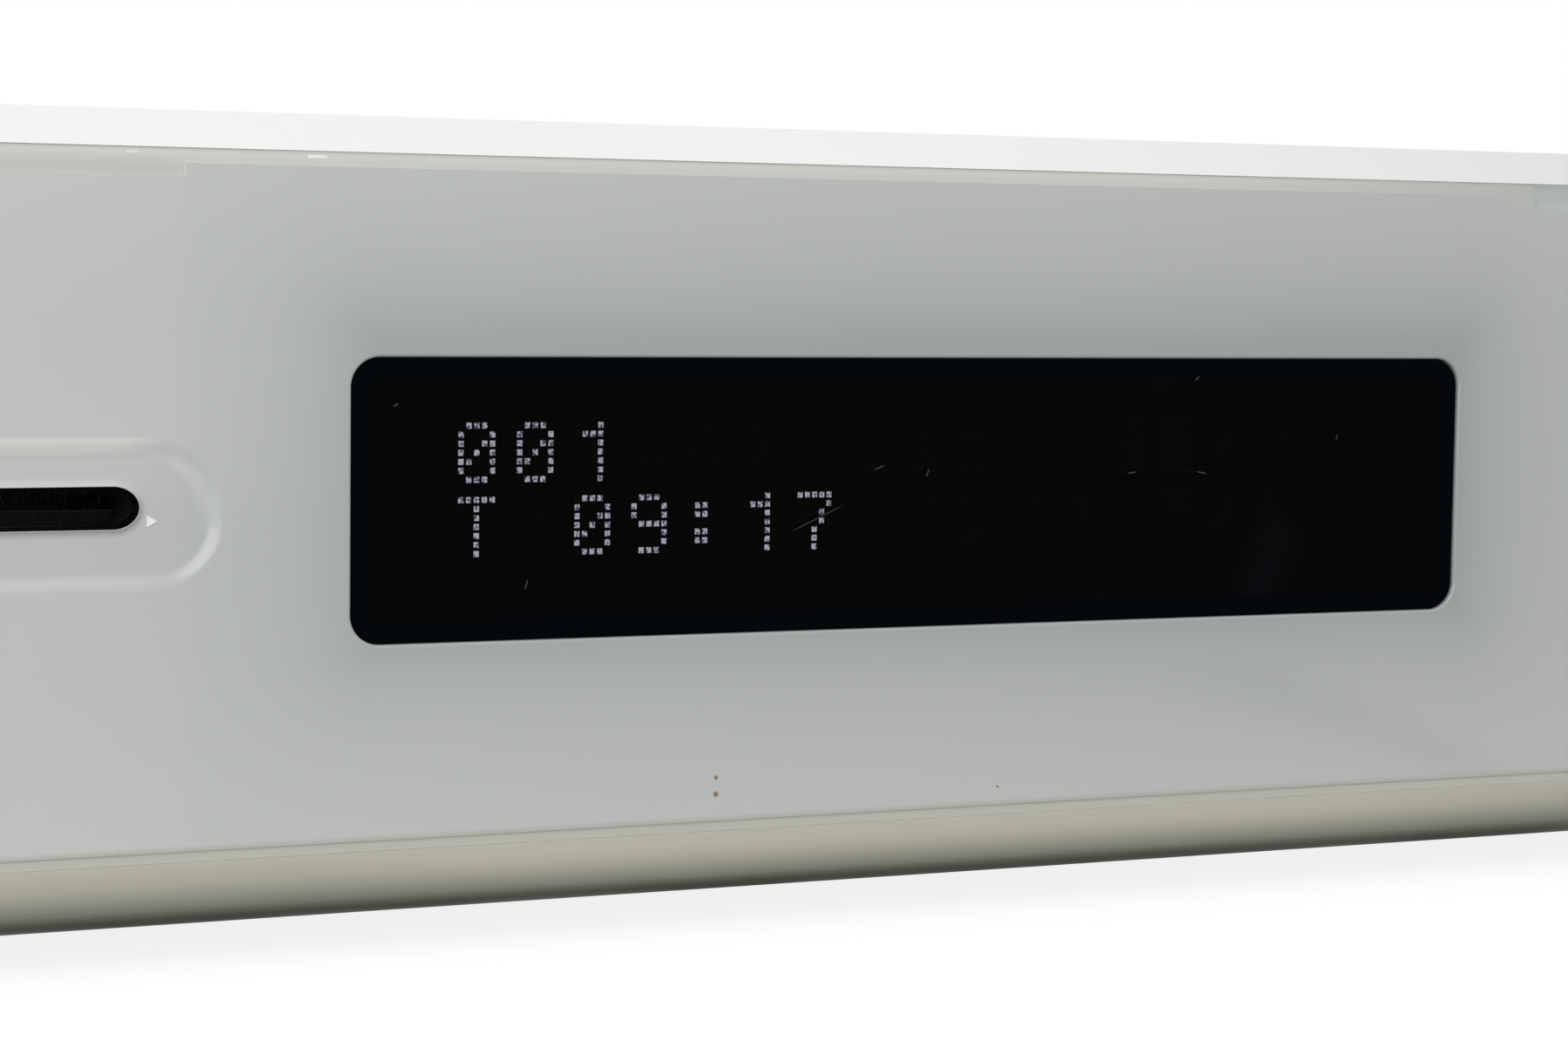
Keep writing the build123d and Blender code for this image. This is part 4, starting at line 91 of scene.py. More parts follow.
class Flow:
    """One output in a material's node tree, which Python's operators can be used on."""

    def __init__(self, tree, socket):
        self.tree = tree
        self.socket = socket

    def add(self, kind, settings=(), sockets=()):
        """Makes a node, sets it up, feeds its sockets and gives its first output."""
        node = self.tree.nodes.new("ShaderNode" + kind)
        for name, value in dict(settings).items():
            setattr(node, name, value)
        for name, value in dict(sockets).items():
            self.feed(node.inputs[name], value)
        return Flow(self.tree, node.outputs[0])

    def feed(self, target, value):
        """Links a flow to a socket, or sets the socket to a value."""
        if isinstance(value, Flow):
            self.tree.links.new(value.socket, target)
        else:
            target.default_value = value

    def maths(self, operation, *values):
        """A Math node on this flow and further values."""
        terms = dict(enumerate((self, *values)))
        return self.add("Math", {"operation": operation}, terms)

    def __add__(self, other):
        return self.maths("ADD", other)

    def __sub__(self, other):
        return self.maths("SUBTRACT", other)

    def __mul__(self, other):
        return self.maths("MULTIPLY", other)

    def __truediv__(self, other):
        return self.maths("DIVIDE", other)

    def __rsub__(self, other):
        return self.maths("MULTIPLY_ADD", -1.0, other)

    def __abs__(self):
        return self.maths("ABSOLUTE")

    __radd__ = __add__
    __rmul__ = __mul__

    def at_least(self, other):
        return self.maths("MAXIMUM", other)

    def at_most(self, other):
        return self.maths("MINIMUM", other)

    def between(self, low, high, start=0.0, end=1.0):
        """This flow, carried from low..high to start..end with soft ends."""
        sockets = {"Value": self, "From Min": low, "From Max": high, "To Min": start, "To Max": end}
        return self.add("MapRange", {"interpolation_type": "SMOOTHSTEP"}, sockets)

    def axes(self):
        """The x, y and z of a vector."""
        node = self.tree.nodes.new("ShaderNodeSeparateXYZ")
        self.feed(node.inputs[0], self)
        return [Flow(self.tree, out) for out in node.outputs]

    def noise(self, size, detail=2.0, stretch=(1, 1, 1)):
        """Soft noise from 0 to 1, whose lumps are about as large as size, in millimetres."""
        scale = [1 / (size * MM * s) for s in stretch]
        spread = self.add("VectorMath", {"operation": "MULTIPLY"}, {0: self, 1: scale})
        return self.add("TexNoise", (), {"Vector": spread, "Scale": 1.0, "Detail": detail})

    def mix(self, first, second):
        """Two colours, mixed by this flow."""
        node = self.tree.nodes.new("ShaderNodeMix")
        node.data_type = "RGBA"
        for index, value in zip(MIX_INPUTS, (self, first, second)):
            self.feed(node.inputs[index], value)
        return Flow(self.tree, node.outputs[MIX_OUTPUT])


print("flow helper ready")

# %% Finish helper
def linear(*levels):
    """A colour given as screen levels from 0 to 255, as the renderer wants it."""
    shares = [level / 255 for level in levels]
    curve = [s / 12.92 if s <= 0.04045 else ((s + 0.055) / 1.055) ** 2.4 for s in shares]
    return (*curve, 1.0)


class Finish:
    """A material with one Principled shader and a flow that holds the place on the object."""

    def __init__(self, name, colour, roughness, **sockets):
        self.name = name
        self.material = bpy.data.materials.new(name)
        self.material.use_nodes = True
        tree = self.material.node_tree
        self.shader = tree.nodes["Principled BSDF"]
        coordinates = tree.nodes.new("ShaderNodeTexCoord")
        self.place = Flow(tree, coordinates.outputs["Object"])
        self.shade = linear(*colour)
        self.set("Base Color", self.shade)
        self.set("Roughness", roughness)
        for name, value in sockets.items():
            self.set(name.replace("_", " "), value)

    def set(self, name, value):
        """Feeds one socket of the shader."""
        self.place.feed(self.shader.inputs[name], value)
        return self

    def measured(self):
        """The x, y and z of the place, in millimetres."""
        return [axis / MM for axis in self.place.axes()]

    def vary(self, colour, amount):
        """Lays another colour over what the surface has so far, by a flow."""
        self.shade = amount.mix(self.shade, linear(*colour))
        return self.set("Base Color", self.shade)

    def bump(self, height, depth):
        """Raises the surface by a flow from 0 to 1, as deep as depth, in millimetres."""
        sockets = {"Height": height, "Distance": depth * MM, "Strength": 1.0}
        return self.set("Normal", self.place.add("Bump", (), sockets))


print("finish helper ready")

# %% [markdown]
# ## Floor, background and light
#
# The receiver was photographed on white. The white isn't light on the object: the world and
# the floor only glow towards the camera, mirrors and glass, and everything matt sees a dimmer
# sky and a darker floor. So the underside of the case still rolls into shade, and the floor
# keeps the shadow of the receiver.

# %% World
PALE_SKY = (1.0, 1.0, 1.0, 1.0)
SKY_LIGHT = 0.56
BACKGROUND_WHITE = 1.0


def seen_directly(start):
    """1 for a ray from the camera, off a mirror or through glass, and 0 for soft light."""
    path = start.tree.nodes.new("ShaderNodeLightPath")
    camera_ray, mirror_ray, glass_ray = (
        Flow(start.tree, path.outputs[name])
        for name in ("Is Camera Ray", "Is Glossy Ray", "Is Transmission Ray")
    )
    return camera_ray.at_least(mirror_ray).at_least(glass_ray)


world = bpy.data.worlds.new("studio")
world.use_nodes = True
bpy.context.scene.world = world
sky = world.node_tree.nodes["Background"]
sky.inputs["Color"].default_value = PALE_SKY
sky_start = Flow(world.node_tree, None)
sky_strength = seen_directly(sky_start).between(0, 1, SKY_LIGHT, BACKGROUND_WHITE)
sky_start.feed(sky.inputs["Strength"], sky_strength)
print("sky light", SKY_LIGHT)

# %% Floor
FLOOR_HALF = 6.0
FLOOR_TINT = (0.2, 0.2, 0.2, 1.0)
FLOOR_GLOW = 0.86

floor_mesh = bmesh.new()
bmesh.ops.create_grid(floor_mesh, x_segments=1, y_segments=1, size=FLOOR_HALF)
floor_data = bpy.data.meshes.new("floor")
floor_mesh.to_mesh(floor_data)
floor_mesh.free()
floor = bpy.data.objects.new("floor", floor_data)
bpy.context.scene.collection.objects.link(floor)

paper = Finish("floor_paper", (255, 255, 255), 0.9)
paper.set("Base Color", FLOOR_TINT).set("Specular IOR Level", 0.0)
paper.set("Emission Color", (1, 1, 1, 1))
paper.set("Emission Strength", seen_directly(paper.place) * FLOOR_GLOW)
floor_data.materials.append(paper.material)
print("floor", 2 * FLOOR_HALF, "m wide")

# %% Lamps
LAMPS = {
    "key": {"place": (-0.56, -1.135, 0.55), "aim": (0.0, -0.135, 0.05), "size": 1.3, "watts": 13.4},
}

for name, lamp in LAMPS.items():
    light = bpy.data.lights.new(name, "AREA")
    light.size, light.energy = lamp["size"], lamp["watts"]
    holder = bpy.data.objects.new(name, light)
    holder.location = lamp["place"]
    aim = Vector(lamp["aim"]) - Vector(lamp["place"])
    holder.rotation_euler = aim.to_track_quat("-Z", "Y").to_euler()
    bpy.context.scene.collection.objects.link(holder)
print(len(LAMPS), "lamps")

# %% [markdown]
# ## Finishes
#
# Injection-moulded plastic is never one flat colour. Its gloss has a faint ripple from the
# mould, called orange peel, dust settles on it, and hands leave a soft haze. Each finish below
# starts from the colour in the photograph and adds what that material really shows, at its
# real size in millimetres. Some also have painted light and shade mixed into their colour,
# as said where it is done.

# %% Gloss plastic
CLOUD_SIZE, RIPPLE_SIZE, RIPPLE_DEPTH = 45, 5.0, 0.006
DUST_CELL, DUST_PATCH = 6.4, 30


def ripple(place):
    """The mould's faint waves under a gloss surface, from 0 to 1."""
    return place.noise(RIPPLE_SIZE, detail=1.0)


def dust(place):
    """Sparse specks of dust, 1 on a speck."""
    sockets = {"Vector": place, "Scale": 1 / (DUST_CELL * MM)}
    cells = place.add("TexVoronoi", {"feature": "F1"}, sockets)
    return cells.between(0.06, 0.03) * place.noise(DUST_PATCH, detail=3.0).between(0.55, 0.7)


def gloss_plastic(name, colour, roughness=0.16):
    """Shiny moulded plastic with ripple. Gives the finish and the haze that lies on it."""
    finish = Finish(name, colour, roughness)
    cloud = finish.place.noise(CLOUD_SIZE, detail=4.0)
    finish.set("Roughness", cloud.between(0.3, 0.8, roughness * 0.8, roughness * 1.5))
    finish.bump(ripple(finish.place), RIPPLE_DEPTH)
    return finish, cloud


print("gloss plastic ready, with ripples", RIPPLE_SIZE, "mm apart")

# %% Cover and buttons
# Painted shade darkens the front strip towards its far end, where less of the lamp reaches it.
STRIP_FADE, STRIP_SLOPE = (50, 210), (-128, -131)  # along the strip, and back to front

cover_white, cover_cloud = gloss_plastic("cover_white", (239, 241, 240))
cover_x, cover_y, _ = cover_white.measured()
painted_strip_shade = cover_x.between(*STRIP_FADE) * cover_y.between(*STRIP_SLOPE)
cover_white.vary((236, 238, 236), cover_cloud).vary((221, 224, 223), painted_strip_shade)

button_white, button_cloud = gloss_plastic("button_white", (240, 241, 240), roughness=0.2)
button_white.vary((228, 228, 222), button_cloud * 0.35 + dust(button_white.place) * 0.5)
print("cover and buttons finished")

# %% Lower shell
# Painted shade: darker towards the ends, where the shell rolls under, and at its lowest edge.
SHELL_END_SHADE = ((30, 0, 0.9), (120, 160, 0.6))  # from x, to x and how dark
SHELL_BEND = (11.3, 9.6)  # above it the ends are less dark
SHELL_ROLL_SHADE = ((9.6, 3.7, 0.4), (6.6, 4.5, 0.6))  # from z, to z and how dark
SHELL_FOOT_SHADE = (4.8, 4.1)  # the edge that lies in the dark

shell_beige, shell_cloud = gloss_plastic("shell_beige", (197, 196, 181), roughness=0.42)
shell_beige.set("Specular IOR Level", 0.06)
shell_x, _, shell_z = shell_beige.measured()
painted_end_shade = sum(shell_x.between(start, end) * depth for start, end, depth in SHELL_END_SHADE)
painted_roll_shade = sum(shell_z.between(start, end) * depth for start, end, depth in SHELL_ROLL_SHADE)
SHELL_PAINTS = (
    ((193, 192, 176), shell_cloud),
    ((185, 184, 170), painted_end_shade * shell_z.between(*SHELL_BEND, 0.4, 1.0)),
    ((48, 46, 24), painted_roll_shade),
    ((7, 6, 3), shell_z.between(*SHELL_FOOT_SHADE)),
)
for paint, amount in SHELL_PAINTS:
    shell_beige.vary(paint, amount)
print("shell finished with", len(SHELL_PAINTS), "shades")

# %% Satin plastic
def satin_plastic(name, colour, haze, roughness=0.42, grain=0.25, depth=0.012):
    """Moulded plastic with a fine spark-eroded grain."""
    finish = Finish(name, colour, roughness)
    cloud = finish.place.noise(38, detail=4.0)
    finish.vary(haze, cloud * 0.5)
    finish.set("Roughness", cloud.between(0.25, 0.8, roughness * 0.85, roughness * 1.2))
    finish.bump(finish.place.noise(grain, detail=2.0), depth)
    return finish


print("satin plastic ready")

# %% [markdown]
# ## The fascia's light and shade
#
# The real fascia lets a little light in. It looks darker round the window, where the black
# lens swallows that light, and lighter towards its lower edge and its left end. It would take
# scattered light and a long render to get this from the shader, so it is worked out from the
# distance to the window instead, and mixed into the colour as painted light and shade. Light
# and shade on the recess's walls and floor, a glow above the recess and a faint curved shadow
# low down are painted into the colour the same way. The sizes of the front come first, because
# the shades and the pieces are laid out from the same ones.

# %% Sizes of the front, in millimetres
FRONT = -135.0
FASCIA_BACK = -132.0
SLOT = {"x": -76.85, "z": 46.22, "width": 128.0, "height": 4.12, "round_x": 2.6, "round_z": 2.06}
RECESS = {"x": -76.85, "z": 45.45, "width": 144.4, "height": 14.3, "round_x": 7.0, "round_z": 6.3}
WINDOW = {"x": 74.7, "z": 46.45, "width": 132.3, "height": 28.9, "round_x": 3.05, "round_z": 3.05}
MEDIA = {"x": 172.5, "z": 27.0, "width": 13.5, "height": 6.1, "round_x": 0.8, "round_z": 0.8}
BUTTONS = {  # x, z and radius
    "power_button": (-180.0, 46.0, 7.0),
    "eject_button": (172.5, 65.0, 4.0),
    "play_button": (188.5, 65.0, 4.0),
    "source_button": (180.5, 52.0, 4.0),
    "volume_down_button": (172.5, 39.0, 4.0),
    "volume_up_button": (188.5, 39.0, 4.0),
}
JACK = (188.5, 27.0, 4.0)
BUTTON_GAP, JACK_GAP = 0.3, 0.15  # round a button, and round the jack
print("front sizes ready")

# %% Distances on the front
def beyond_box(finish, x, z, half_width, half_height=0.0, squeeze=1.0):
    """How far a point of the front lies outside a box, in millimetres, squeezed sideways."""
    along, _, up = finish.measured()
    over_x = (abs(along - x) - half_width).at_least(0.0) * squeeze
    over_z = (abs(up - z) - half_height).at_least(0.0)
    return (over_x * over_x + over_z * over_z).maths("SQRT")


def halo(finish, box, reach):
    """A soft shade round a box, 1 at its edge."""
    return (beyond_box(finish, *box) * (-1 / reach)).maths("EXPONENT")


def below(up, edge, reach):
    """1 at an edge and above it, and fading out below it."""
    return ((up - edge) * (1 / reach)).at_most(0.0).maths("EXPONENT")


print("distances ready")

# %% Shade round the window and the recess
NEAR_WINDOW, NEAR_REACH = (76.0, 47.6, 65.0, 15.2), 6.5
WIDE_WINDOW, WIDE_REACH = (74.0, 48.5, 66.0, 15.0), 15.0
RECESS_LINE = 63.8  # half of the straight line that the recess is a stadium round
RECESS_GLOW, GLOW_REACH = (RECESS["x"], RECESS["z"], RECESS_LINE, 7.0), 9.0
WALL_FROM, WALL_TO, RECESS_FLOOR = (5.7, 6.4), (7.8, 7.3), (6.5, 5.5)  # from that line

fascia_grey = Finish("fascia_grey", (190, 193, 192), 0.14)
along, _, up = fascia_grey.measured()
near_window = halo(fascia_grey, NEAR_WINDOW, NEAR_REACH)
wide_halo = halo(fascia_grey, WIDE_WINDOW, WIDE_REACH)

from_recess = beyond_box(fascia_grey, RECESS["x"], RECESS["z"], RECESS_LINE)
above_recess = (up - RECESS["z"]).between(-1, 5)
below_recess = (up - RECESS["z"]).between(2, -3)
recess_wall = from_recess.between(*WALL_FROM) * from_recess.between(*WALL_TO)
upper_wall = recess_wall * above_recess * along.between(-10, -16, 0.3, 1.0)
lower_arc = recess_wall * below_recess * along.between(-14, -9)
in_recess = from_recess.between(*RECESS_FLOOR)
recess_glow = halo(fascia_grey, RECESS_GLOW, GLOW_REACH) * above_recess
print("recess at", RECESS["x"], RECESS["z"])

# %% Shade over the whole fascia
MIDDLE_HEIGHT, HALF_HEIGHT = 46, 33
LIGHT_END = 75  # the light grows to the left of this x
ARC_X, ARC_TOP, ARC_DROP, ARC_SOFT = 93, 25.5, 0.0048, 3.2  # a faint curved shadow, low down
ARC_FADE = (94, 122)
SHADE_MIDDLE, SHADE_LOW, SHADE_HIGH = -0.034, -0.34, 0.36

from_middle = (up - MIDDLE_HEIGHT) * (1 / HALF_HEIGHT)
from_arc = (along - ARC_X) * (along - ARC_X) * ARC_DROP + (up - ARC_TOP)
from_arc = from_arc * (1 / ARC_SOFT)
lower_shade = (from_arc * from_arc * -1).maths("EXPONENT") * along.between(*ARC_FADE)
SHADES = (  # each shade, and how much lighter it makes the fascia
    (LIGHT_END - along, 0.00035),
    (from_middle * from_middle, 0.07),
    (from_middle, -0.008),
    (upper_wall, 0.25),
    (lower_arc, -0.06),
    (in_recess, -0.045),
    (recess_glow, 0.06),
    (near_window, -0.2),
    (wide_halo, -0.1),
    (lower_shade, -0.06),
    (fascia_grey.place.noise(60, detail=3.0), 0.05),
)
shade = sum(flow * strength for flow, strength in SHADES) + SHADE_MIDDLE
share = (shade - SHADE_LOW) * (1 / (SHADE_HIGH - SHADE_LOW))
print(len(SHADES), "shades on the fascia")

# %% Fascia colours
COOL_GREYS = ((159, 163, 164), (219, 222, 218))  # at the darkest shade and the lightest
WARM_GREYS = ((161, 164, 163), (222, 224, 220))
WARM_TO_COOL = (-9.2, -7.6)  # the warm grey lies to the left of these x
FOOT_SHADE_EDGE, STEP_Z, STEP_X = (12.95, 12.25), (78.4, 78.45), (-8.27, -8.31)
SPOTS = ((48.4, 16.8, 0.34), (48.4, 15.05, 0.42), (81.8, 14.2, 0.22))  # x, z and radius

cool, warm = (
    share.mix(linear(*dark), linear(*light)) for dark, light in (COOL_GREYS, WARM_GREYS)
)
fascia_grey.shade = along.between(*WARM_TO_COOL).mix(warm, cool)
# Painted shade along the lower edge, where the fascia meets the rim.
fascia_grey.vary((182, 179, 172), up.between(*FOOT_SHADE_EDGE) * 0.85)
# Painted light on the step's side wall, which would otherwise lie in shade.
fascia_grey.vary((237, 239, 237), up.between(*STEP_Z) * along.between(*STEP_X))

# Painted shade: the fascia's walls inside the slot are near black.
slot_line = SLOT["width"] / 2 - SLOT["round_x"]
slot_squeeze = SLOT["round_z"] / SLOT["round_x"]
from_slot = beyond_box(fascia_grey, SLOT["x"], SLOT["z"], slot_line, squeeze=slot_squeeze)
fascia_grey.vary((14, 14, 15), from_slot.between(2.13, 2.07))
for spot_x, spot_z, radius in SPOTS:
    stain = beyond_box(fascia_grey, spot_x, spot_z, 0).between(radius, radius * 0.3)
    fascia_grey.vary((134, 108, 58), stain)

smear = fascia_grey.place.noise(40, detail=4.0)
fascia_grey.set("Roughness", smear.between(0.3, 0.8, 0.11, 0.22))
fascia_grey.bump(ripple(fascia_grey.place), RIPPLE_DEPTH)
print("fascia finished, with", len(SPOTS), "stains")

# %% Carrier
STRIP_FOOT, BAND_GLOW = 81.1, 0.8  # the band is lighter just under the cover's strip
RIM_TOP, RIM_GLOW = 12.2, 0.2222  # and the rim just under the fascia
RIM_FROM = (13.5, 12.5)  # the rim starts here, below the band
BAND_END_SHADE, ZONE_FADE, UNDER_STRIP_LIGHT = (90, 200), (150.6, 151.0), (80.9, 81.1)
HOLDER = (WINDOW["x"], WINDOW["z"], 66.2, 14.6)  # what shows of the carrier behind the lens
GLINTS = ((5.05, 80.66, 0.9, 0.9), (-13.4, 80.71, 0.5, 0.5))  # x, z, half length, strength

carrier_warm = Finish("carrier_warm", (193, 195, 190), 0.25)
carrier_x, _, carrier_z = carrier_warm.measured()
# Painted light just under the cover's strip, where the parting line shades it; painted shade to the
# right.
BAND_PAINTS = (
    ((189, 190, 185), carrier_warm.place.noise(30, detail=3.0)),
    ((234, 235, 226), below(carrier_z, STRIP_FOOT, BAND_GLOW)),
    ((176, 178, 174), carrier_x.between(*BAND_END_SHADE)),
    ((187, 191, 191), carrier_x.between(*ZONE_FADE)),
    ((252, 252, 245), carrier_z.between(*UNDER_STRIP_LIGHT)),
)
for paint, amount in BAND_PAINTS:
    carrier_warm.vary(paint, amount)
for glint_x, glint_z, half_length, strength in GLINTS:
    glint = beyond_box(carrier_warm, glint_x, glint_z, half_length, 0.06).between(0.12, 0.02)
    carrier_warm.vary((255, 255, 255), glint * strength)

# Painted light at the top of the rim, where the fascia's step shades it; below, the rim is darker.
rim_glow = below(carrier_z, RIM_TOP, RIM_GLOW)
rim_shade = rim_glow.mix(linear(186, 187, 177), linear(250, 248, 240))
carrier_warm.shade = carrier_z.between(*RIM_FROM).mix(carrier_warm.shade, rim_shade)
carrier_warm.vary((9, 9, 10), beyond_box(carrier_warm, *HOLDER).between(0.2, 0.0))
carrier_warm.bump(ripple(carrier_warm.place), 0.004)
print("carrier finished, with", len(GLINTS), "glints")

# %% Metals
def plated(name, colour, roughness, grain=1.2, depth=0.004):
    """Plated or cut metal, with fine scratches and a cloudy sheen."""
    finish = Finish(name, colour, roughness, Metallic=1.0)
    cloud = finish.place.noise(26, detail=5.0)
    lines = finish.place.noise(grain, detail=3.0, stretch=(14, 1, 1))
    finish.vary([level * 0.94 for level in colour], cloud)
    finish.set("Roughness", lines.between(0.3, 0.7, roughness * 0.8, roughness * 1.35))
    finish.bump(lines, depth)
    return finish


PAINTED_FACE, PAINTED_SIDE = (-123.2, -123.8), (2.0, 0.0)  # the drive's front, by y and by x

panel_steel = plated("panel_steel", (168, 170, 172), 0.42)
bright_metal = plated("bright_metal", (196, 198, 200), 0.24)
metal_x, metal_y, _ = bright_metal.measured()
drive_face = metal_y.between(*PAINTED_FACE) * metal_x.between(*PAINTED_SIDE)
bright_metal.set("Metallic", drive_face.between(0, 1, 1.0, 0.0))
bright_metal.vary((10, 10, 11), drive_face)
screw_steel = plated("screw_steel", (150, 150, 152), 0.3, grain=0.4)
sink_aluminium = plated("sink_aluminium", (190, 192, 194), 0.38, grain=0.8)
pinion_brass = plated("pinion_brass", (214, 178, 104), 0.25, grain=0.3)
print("metals made")

# %% Dark and light mouldings
MOULDINGS = {  # colour, haze and roughness, and a grain and its depth that are their own
    "black_plastic": ((30, 30, 32), (40, 40, 42), 0.4),
    "liner_black": ((24, 24, 25), (30, 30, 31), 0.7),
    "gear_white": ((226, 224, 214), (212, 208, 194), 0.35),
    "pad_rubber": ((38, 38, 38), (54, 54, 52), 0.75, 0.5, 0.03),
    "cable_white": ((222, 222, 216), (206, 206, 198), 0.4),
    "lead_sleeve": ((58, 44, 40), (74, 60, 54), 0.45),
    "ferrite": ((52, 52, 56), (74, 72, 72), 0.6, 0.6, 0.04),
    "can_sleeve": ((26, 38, 62), (38, 50, 74), 0.3),
}
mouldings = {name: satin_plastic(name, *looks) for name, looks in MOULDINGS.items()}
black_plastic = mouldings["black_plastic"]
mouldings["liner_black"].set("Specular IOR Level", 0.2)
print(len(mouldings), "mouldings made")

# %% Felt
SLIT_Z, SLIT_HALF = 46.1, 0.8  # where the two lips meet

felt_black = Finish("felt_black", (26, 26, 27), 0.95, Sheen_Weight=0.1, Specular_IOR_Level=0.1)
fibres = felt_black.place.noise(0.35, detail=4.0, stretch=(1, 1, 5))
near_slit = abs(felt_black.measured()[2] - SLIT_Z).between(SLIT_HALF, 0.0)
slit_dust = near_slit * felt_black.place.noise(2.5, detail=5.0)
felt_black.vary((40, 40, 41), fibres.between(0.45, 0.85))
felt_black.vary((96, 92, 84), slit_dust.between(0.3, 0.7))
felt_black.bump(fibres, 0.12)
print("felt made")

# %% Tube and optics
tube_glass = Finish("tube_glass", (13, 13, 14), 0.1)
tube_glass.vary((20, 19, 20), tube_glass.place.noise(8, detail=3.0))
optic = Finish("optic", (70, 60, 110), 0.04, Transmission_Weight=0.4, IOR=1.55)
optic.vary((40, 40, 90), optic.place.noise(1.0))
print("tube and optics made")

# %% Lens
LENS_MIDDLE = (WINDOW["x"], WINDOW["z"], 63.4, 11.7)  # the clearer part of the lens
LENS_CLEARNESS, FLECK_COVER = 0.18, 0.3
SMUDGE_FROM = (60, 120)  # the smudge grows between these x
FLECKS = (  # x, z, turn, length and width
    (67.0, 49.2, 20, 1.5, 0.2), (72.8, 48.6, 65, 1.1, 0.22), (98.0, 48.3, 8, 1.3, 0.2),
    (106.9, 48.2, -12, 1.5, 0.2), (106.1, 58.7, 40, 0.8, 0.2), (124.6, 52.0, 70, 0.9, 0.2),
    (27.2, 37.7, 75, 1.2, 0.2), (13.2, 56.1, 30, 0.7, 0.24), (59.8, 43.9, 24, 7.6, 0.13),
)


def streak(finish, x, z, turn, length, width):
    """1 on a short thin line of the front, which is turned from level, in degrees."""
    along, _, up = finish.measured()
    side, rise = along - x, up - z
    run = side * cos(radians(turn)) + rise * sin(radians(turn))
    off = rise * cos(radians(turn)) - side * sin(radians(turn))
    return abs(run).between(length / 2, length / 4) * abs(off).between(width / 2, width / 6)


lens_black = Finish("lens_black", (9, 7, 7), 0.1, Specular_IOR_Level=0.006)
lens_middle = beyond_box(lens_black, *LENS_MIDDLE).between(0.7, 0.1)
smudge = lens_black.place.noise(18, detail=4.0).between(0.5, 0.8)
flecks = sum(streak(lens_black, *fleck) for fleck in FLECKS)
lens_black.vary((18, 20, 26), smudge * lens_black.measured()[0].between(*SMUDGE_FROM))
lens_black.vary((5, 8, 11), 1.0 - lens_middle)
lens_black.vary((120, 122, 130), flecks * FLECK_COVER)
lens_cover = lens_middle * -LENS_CLEARNESS + 1.0 + flecks * LENS_CLEARNESS
lens_black.set("Alpha", lens_cover.at_most(1.0))
print("lens made, with", len(FLECKS), "flecks")

# %% Circuit boards
PITCH = 2.54 * MM


def lanes(place, axis, lane_width):
    """Copper tracks a grid step apart, that stop and start, 1 on a track."""
    across = place.axes()[axis] / PITCH
    in_lane = abs(across.maths("FRACT") - 0.5).between(lane_width, lane_width * 0.7)
    stretch = (1, 5, 1) if axis == 0 else (5, 1, 1)
    return in_lane * place.noise(5.0, detail=1.0, stretch=stretch).between(0.5, 0.53)


board_green = Finish("board_green", (22, 74, 46), 0.35)
tracks = lanes(board_green.place, 0, 0.12).at_least(lanes(board_green.place, 1, 0.1))
pad_sockets = {"Vector": board_green.place, "Scale": 1 / (2 * PITCH), "Randomness": 0.35}
pads = board_green.place.add("TexVoronoi", {"feature": "F1"}, pad_sockets).between(0.2, 0.17)
pads = pads * board_green.place.noise(14, detail=1.0).between(0.48, 0.52)
board_green.vary((28, 84, 54), board_green.place.noise(1.2, detail=2.0))
board_green.vary((48, 124, 78), tracks).vary((206, 204, 190), pads)
board_green.set("Metallic", pads * 0.8)
board_green.set("Roughness", pads.between(0, 1, 0.35, 0.28))
board_green.bump(tracks.at_least(pads), 0.03)
print("boards made")

# %% Give each node its finish
FINISHES = (
    cover_white, button_white, carrier_warm, fascia_grey, shell_beige, panel_steel, bright_metal,
    screw_steel, sink_aluminium, pinion_brass, *mouldings.values(), felt_black, lens_black,
    tube_glass, optic, board_green,
)
by_slot = {finish.name: finish.material for finish in FINISHES}

for name, node in nodes.items():
    for slot in node.material_slots:
        slot.material = by_slot[slot.material.name]
print(len(by_slot), "finishes on", len(nodes), "nodes")

# %% [markdown]
# ## How the front pieces are made
#
# The fascia carries every opening of the front: the disc slot in its recess, the window, six
# buttons and two sockets. Sculpting or Booleans would leave untidy shading round them. Here
# every opening is a stack of rings, each a circle whose quarters are pulled apart into the
# outline, and `bridge_loops` joins each ring to the next. So a soft edge is only a list of how
# far each ring grows and how deep it lies.

# %% Rings
RING_SEGMENTS = 64


def edges_of(vertices):
    """Every edge at these vertices once, in an order that is the same in every run."""
    return list(dict.fromkeys(edge for vertex in vertices for edge in vertex.link_edges))


def round_outline(x, z, radius):
    """A circle, said in the same words as the longer outlines."""
    across = {"width": 2 * radius, "height": 2 * radius}
    return {"x": x, "z": z, **across, "round_x": radius, "round_z": radius}


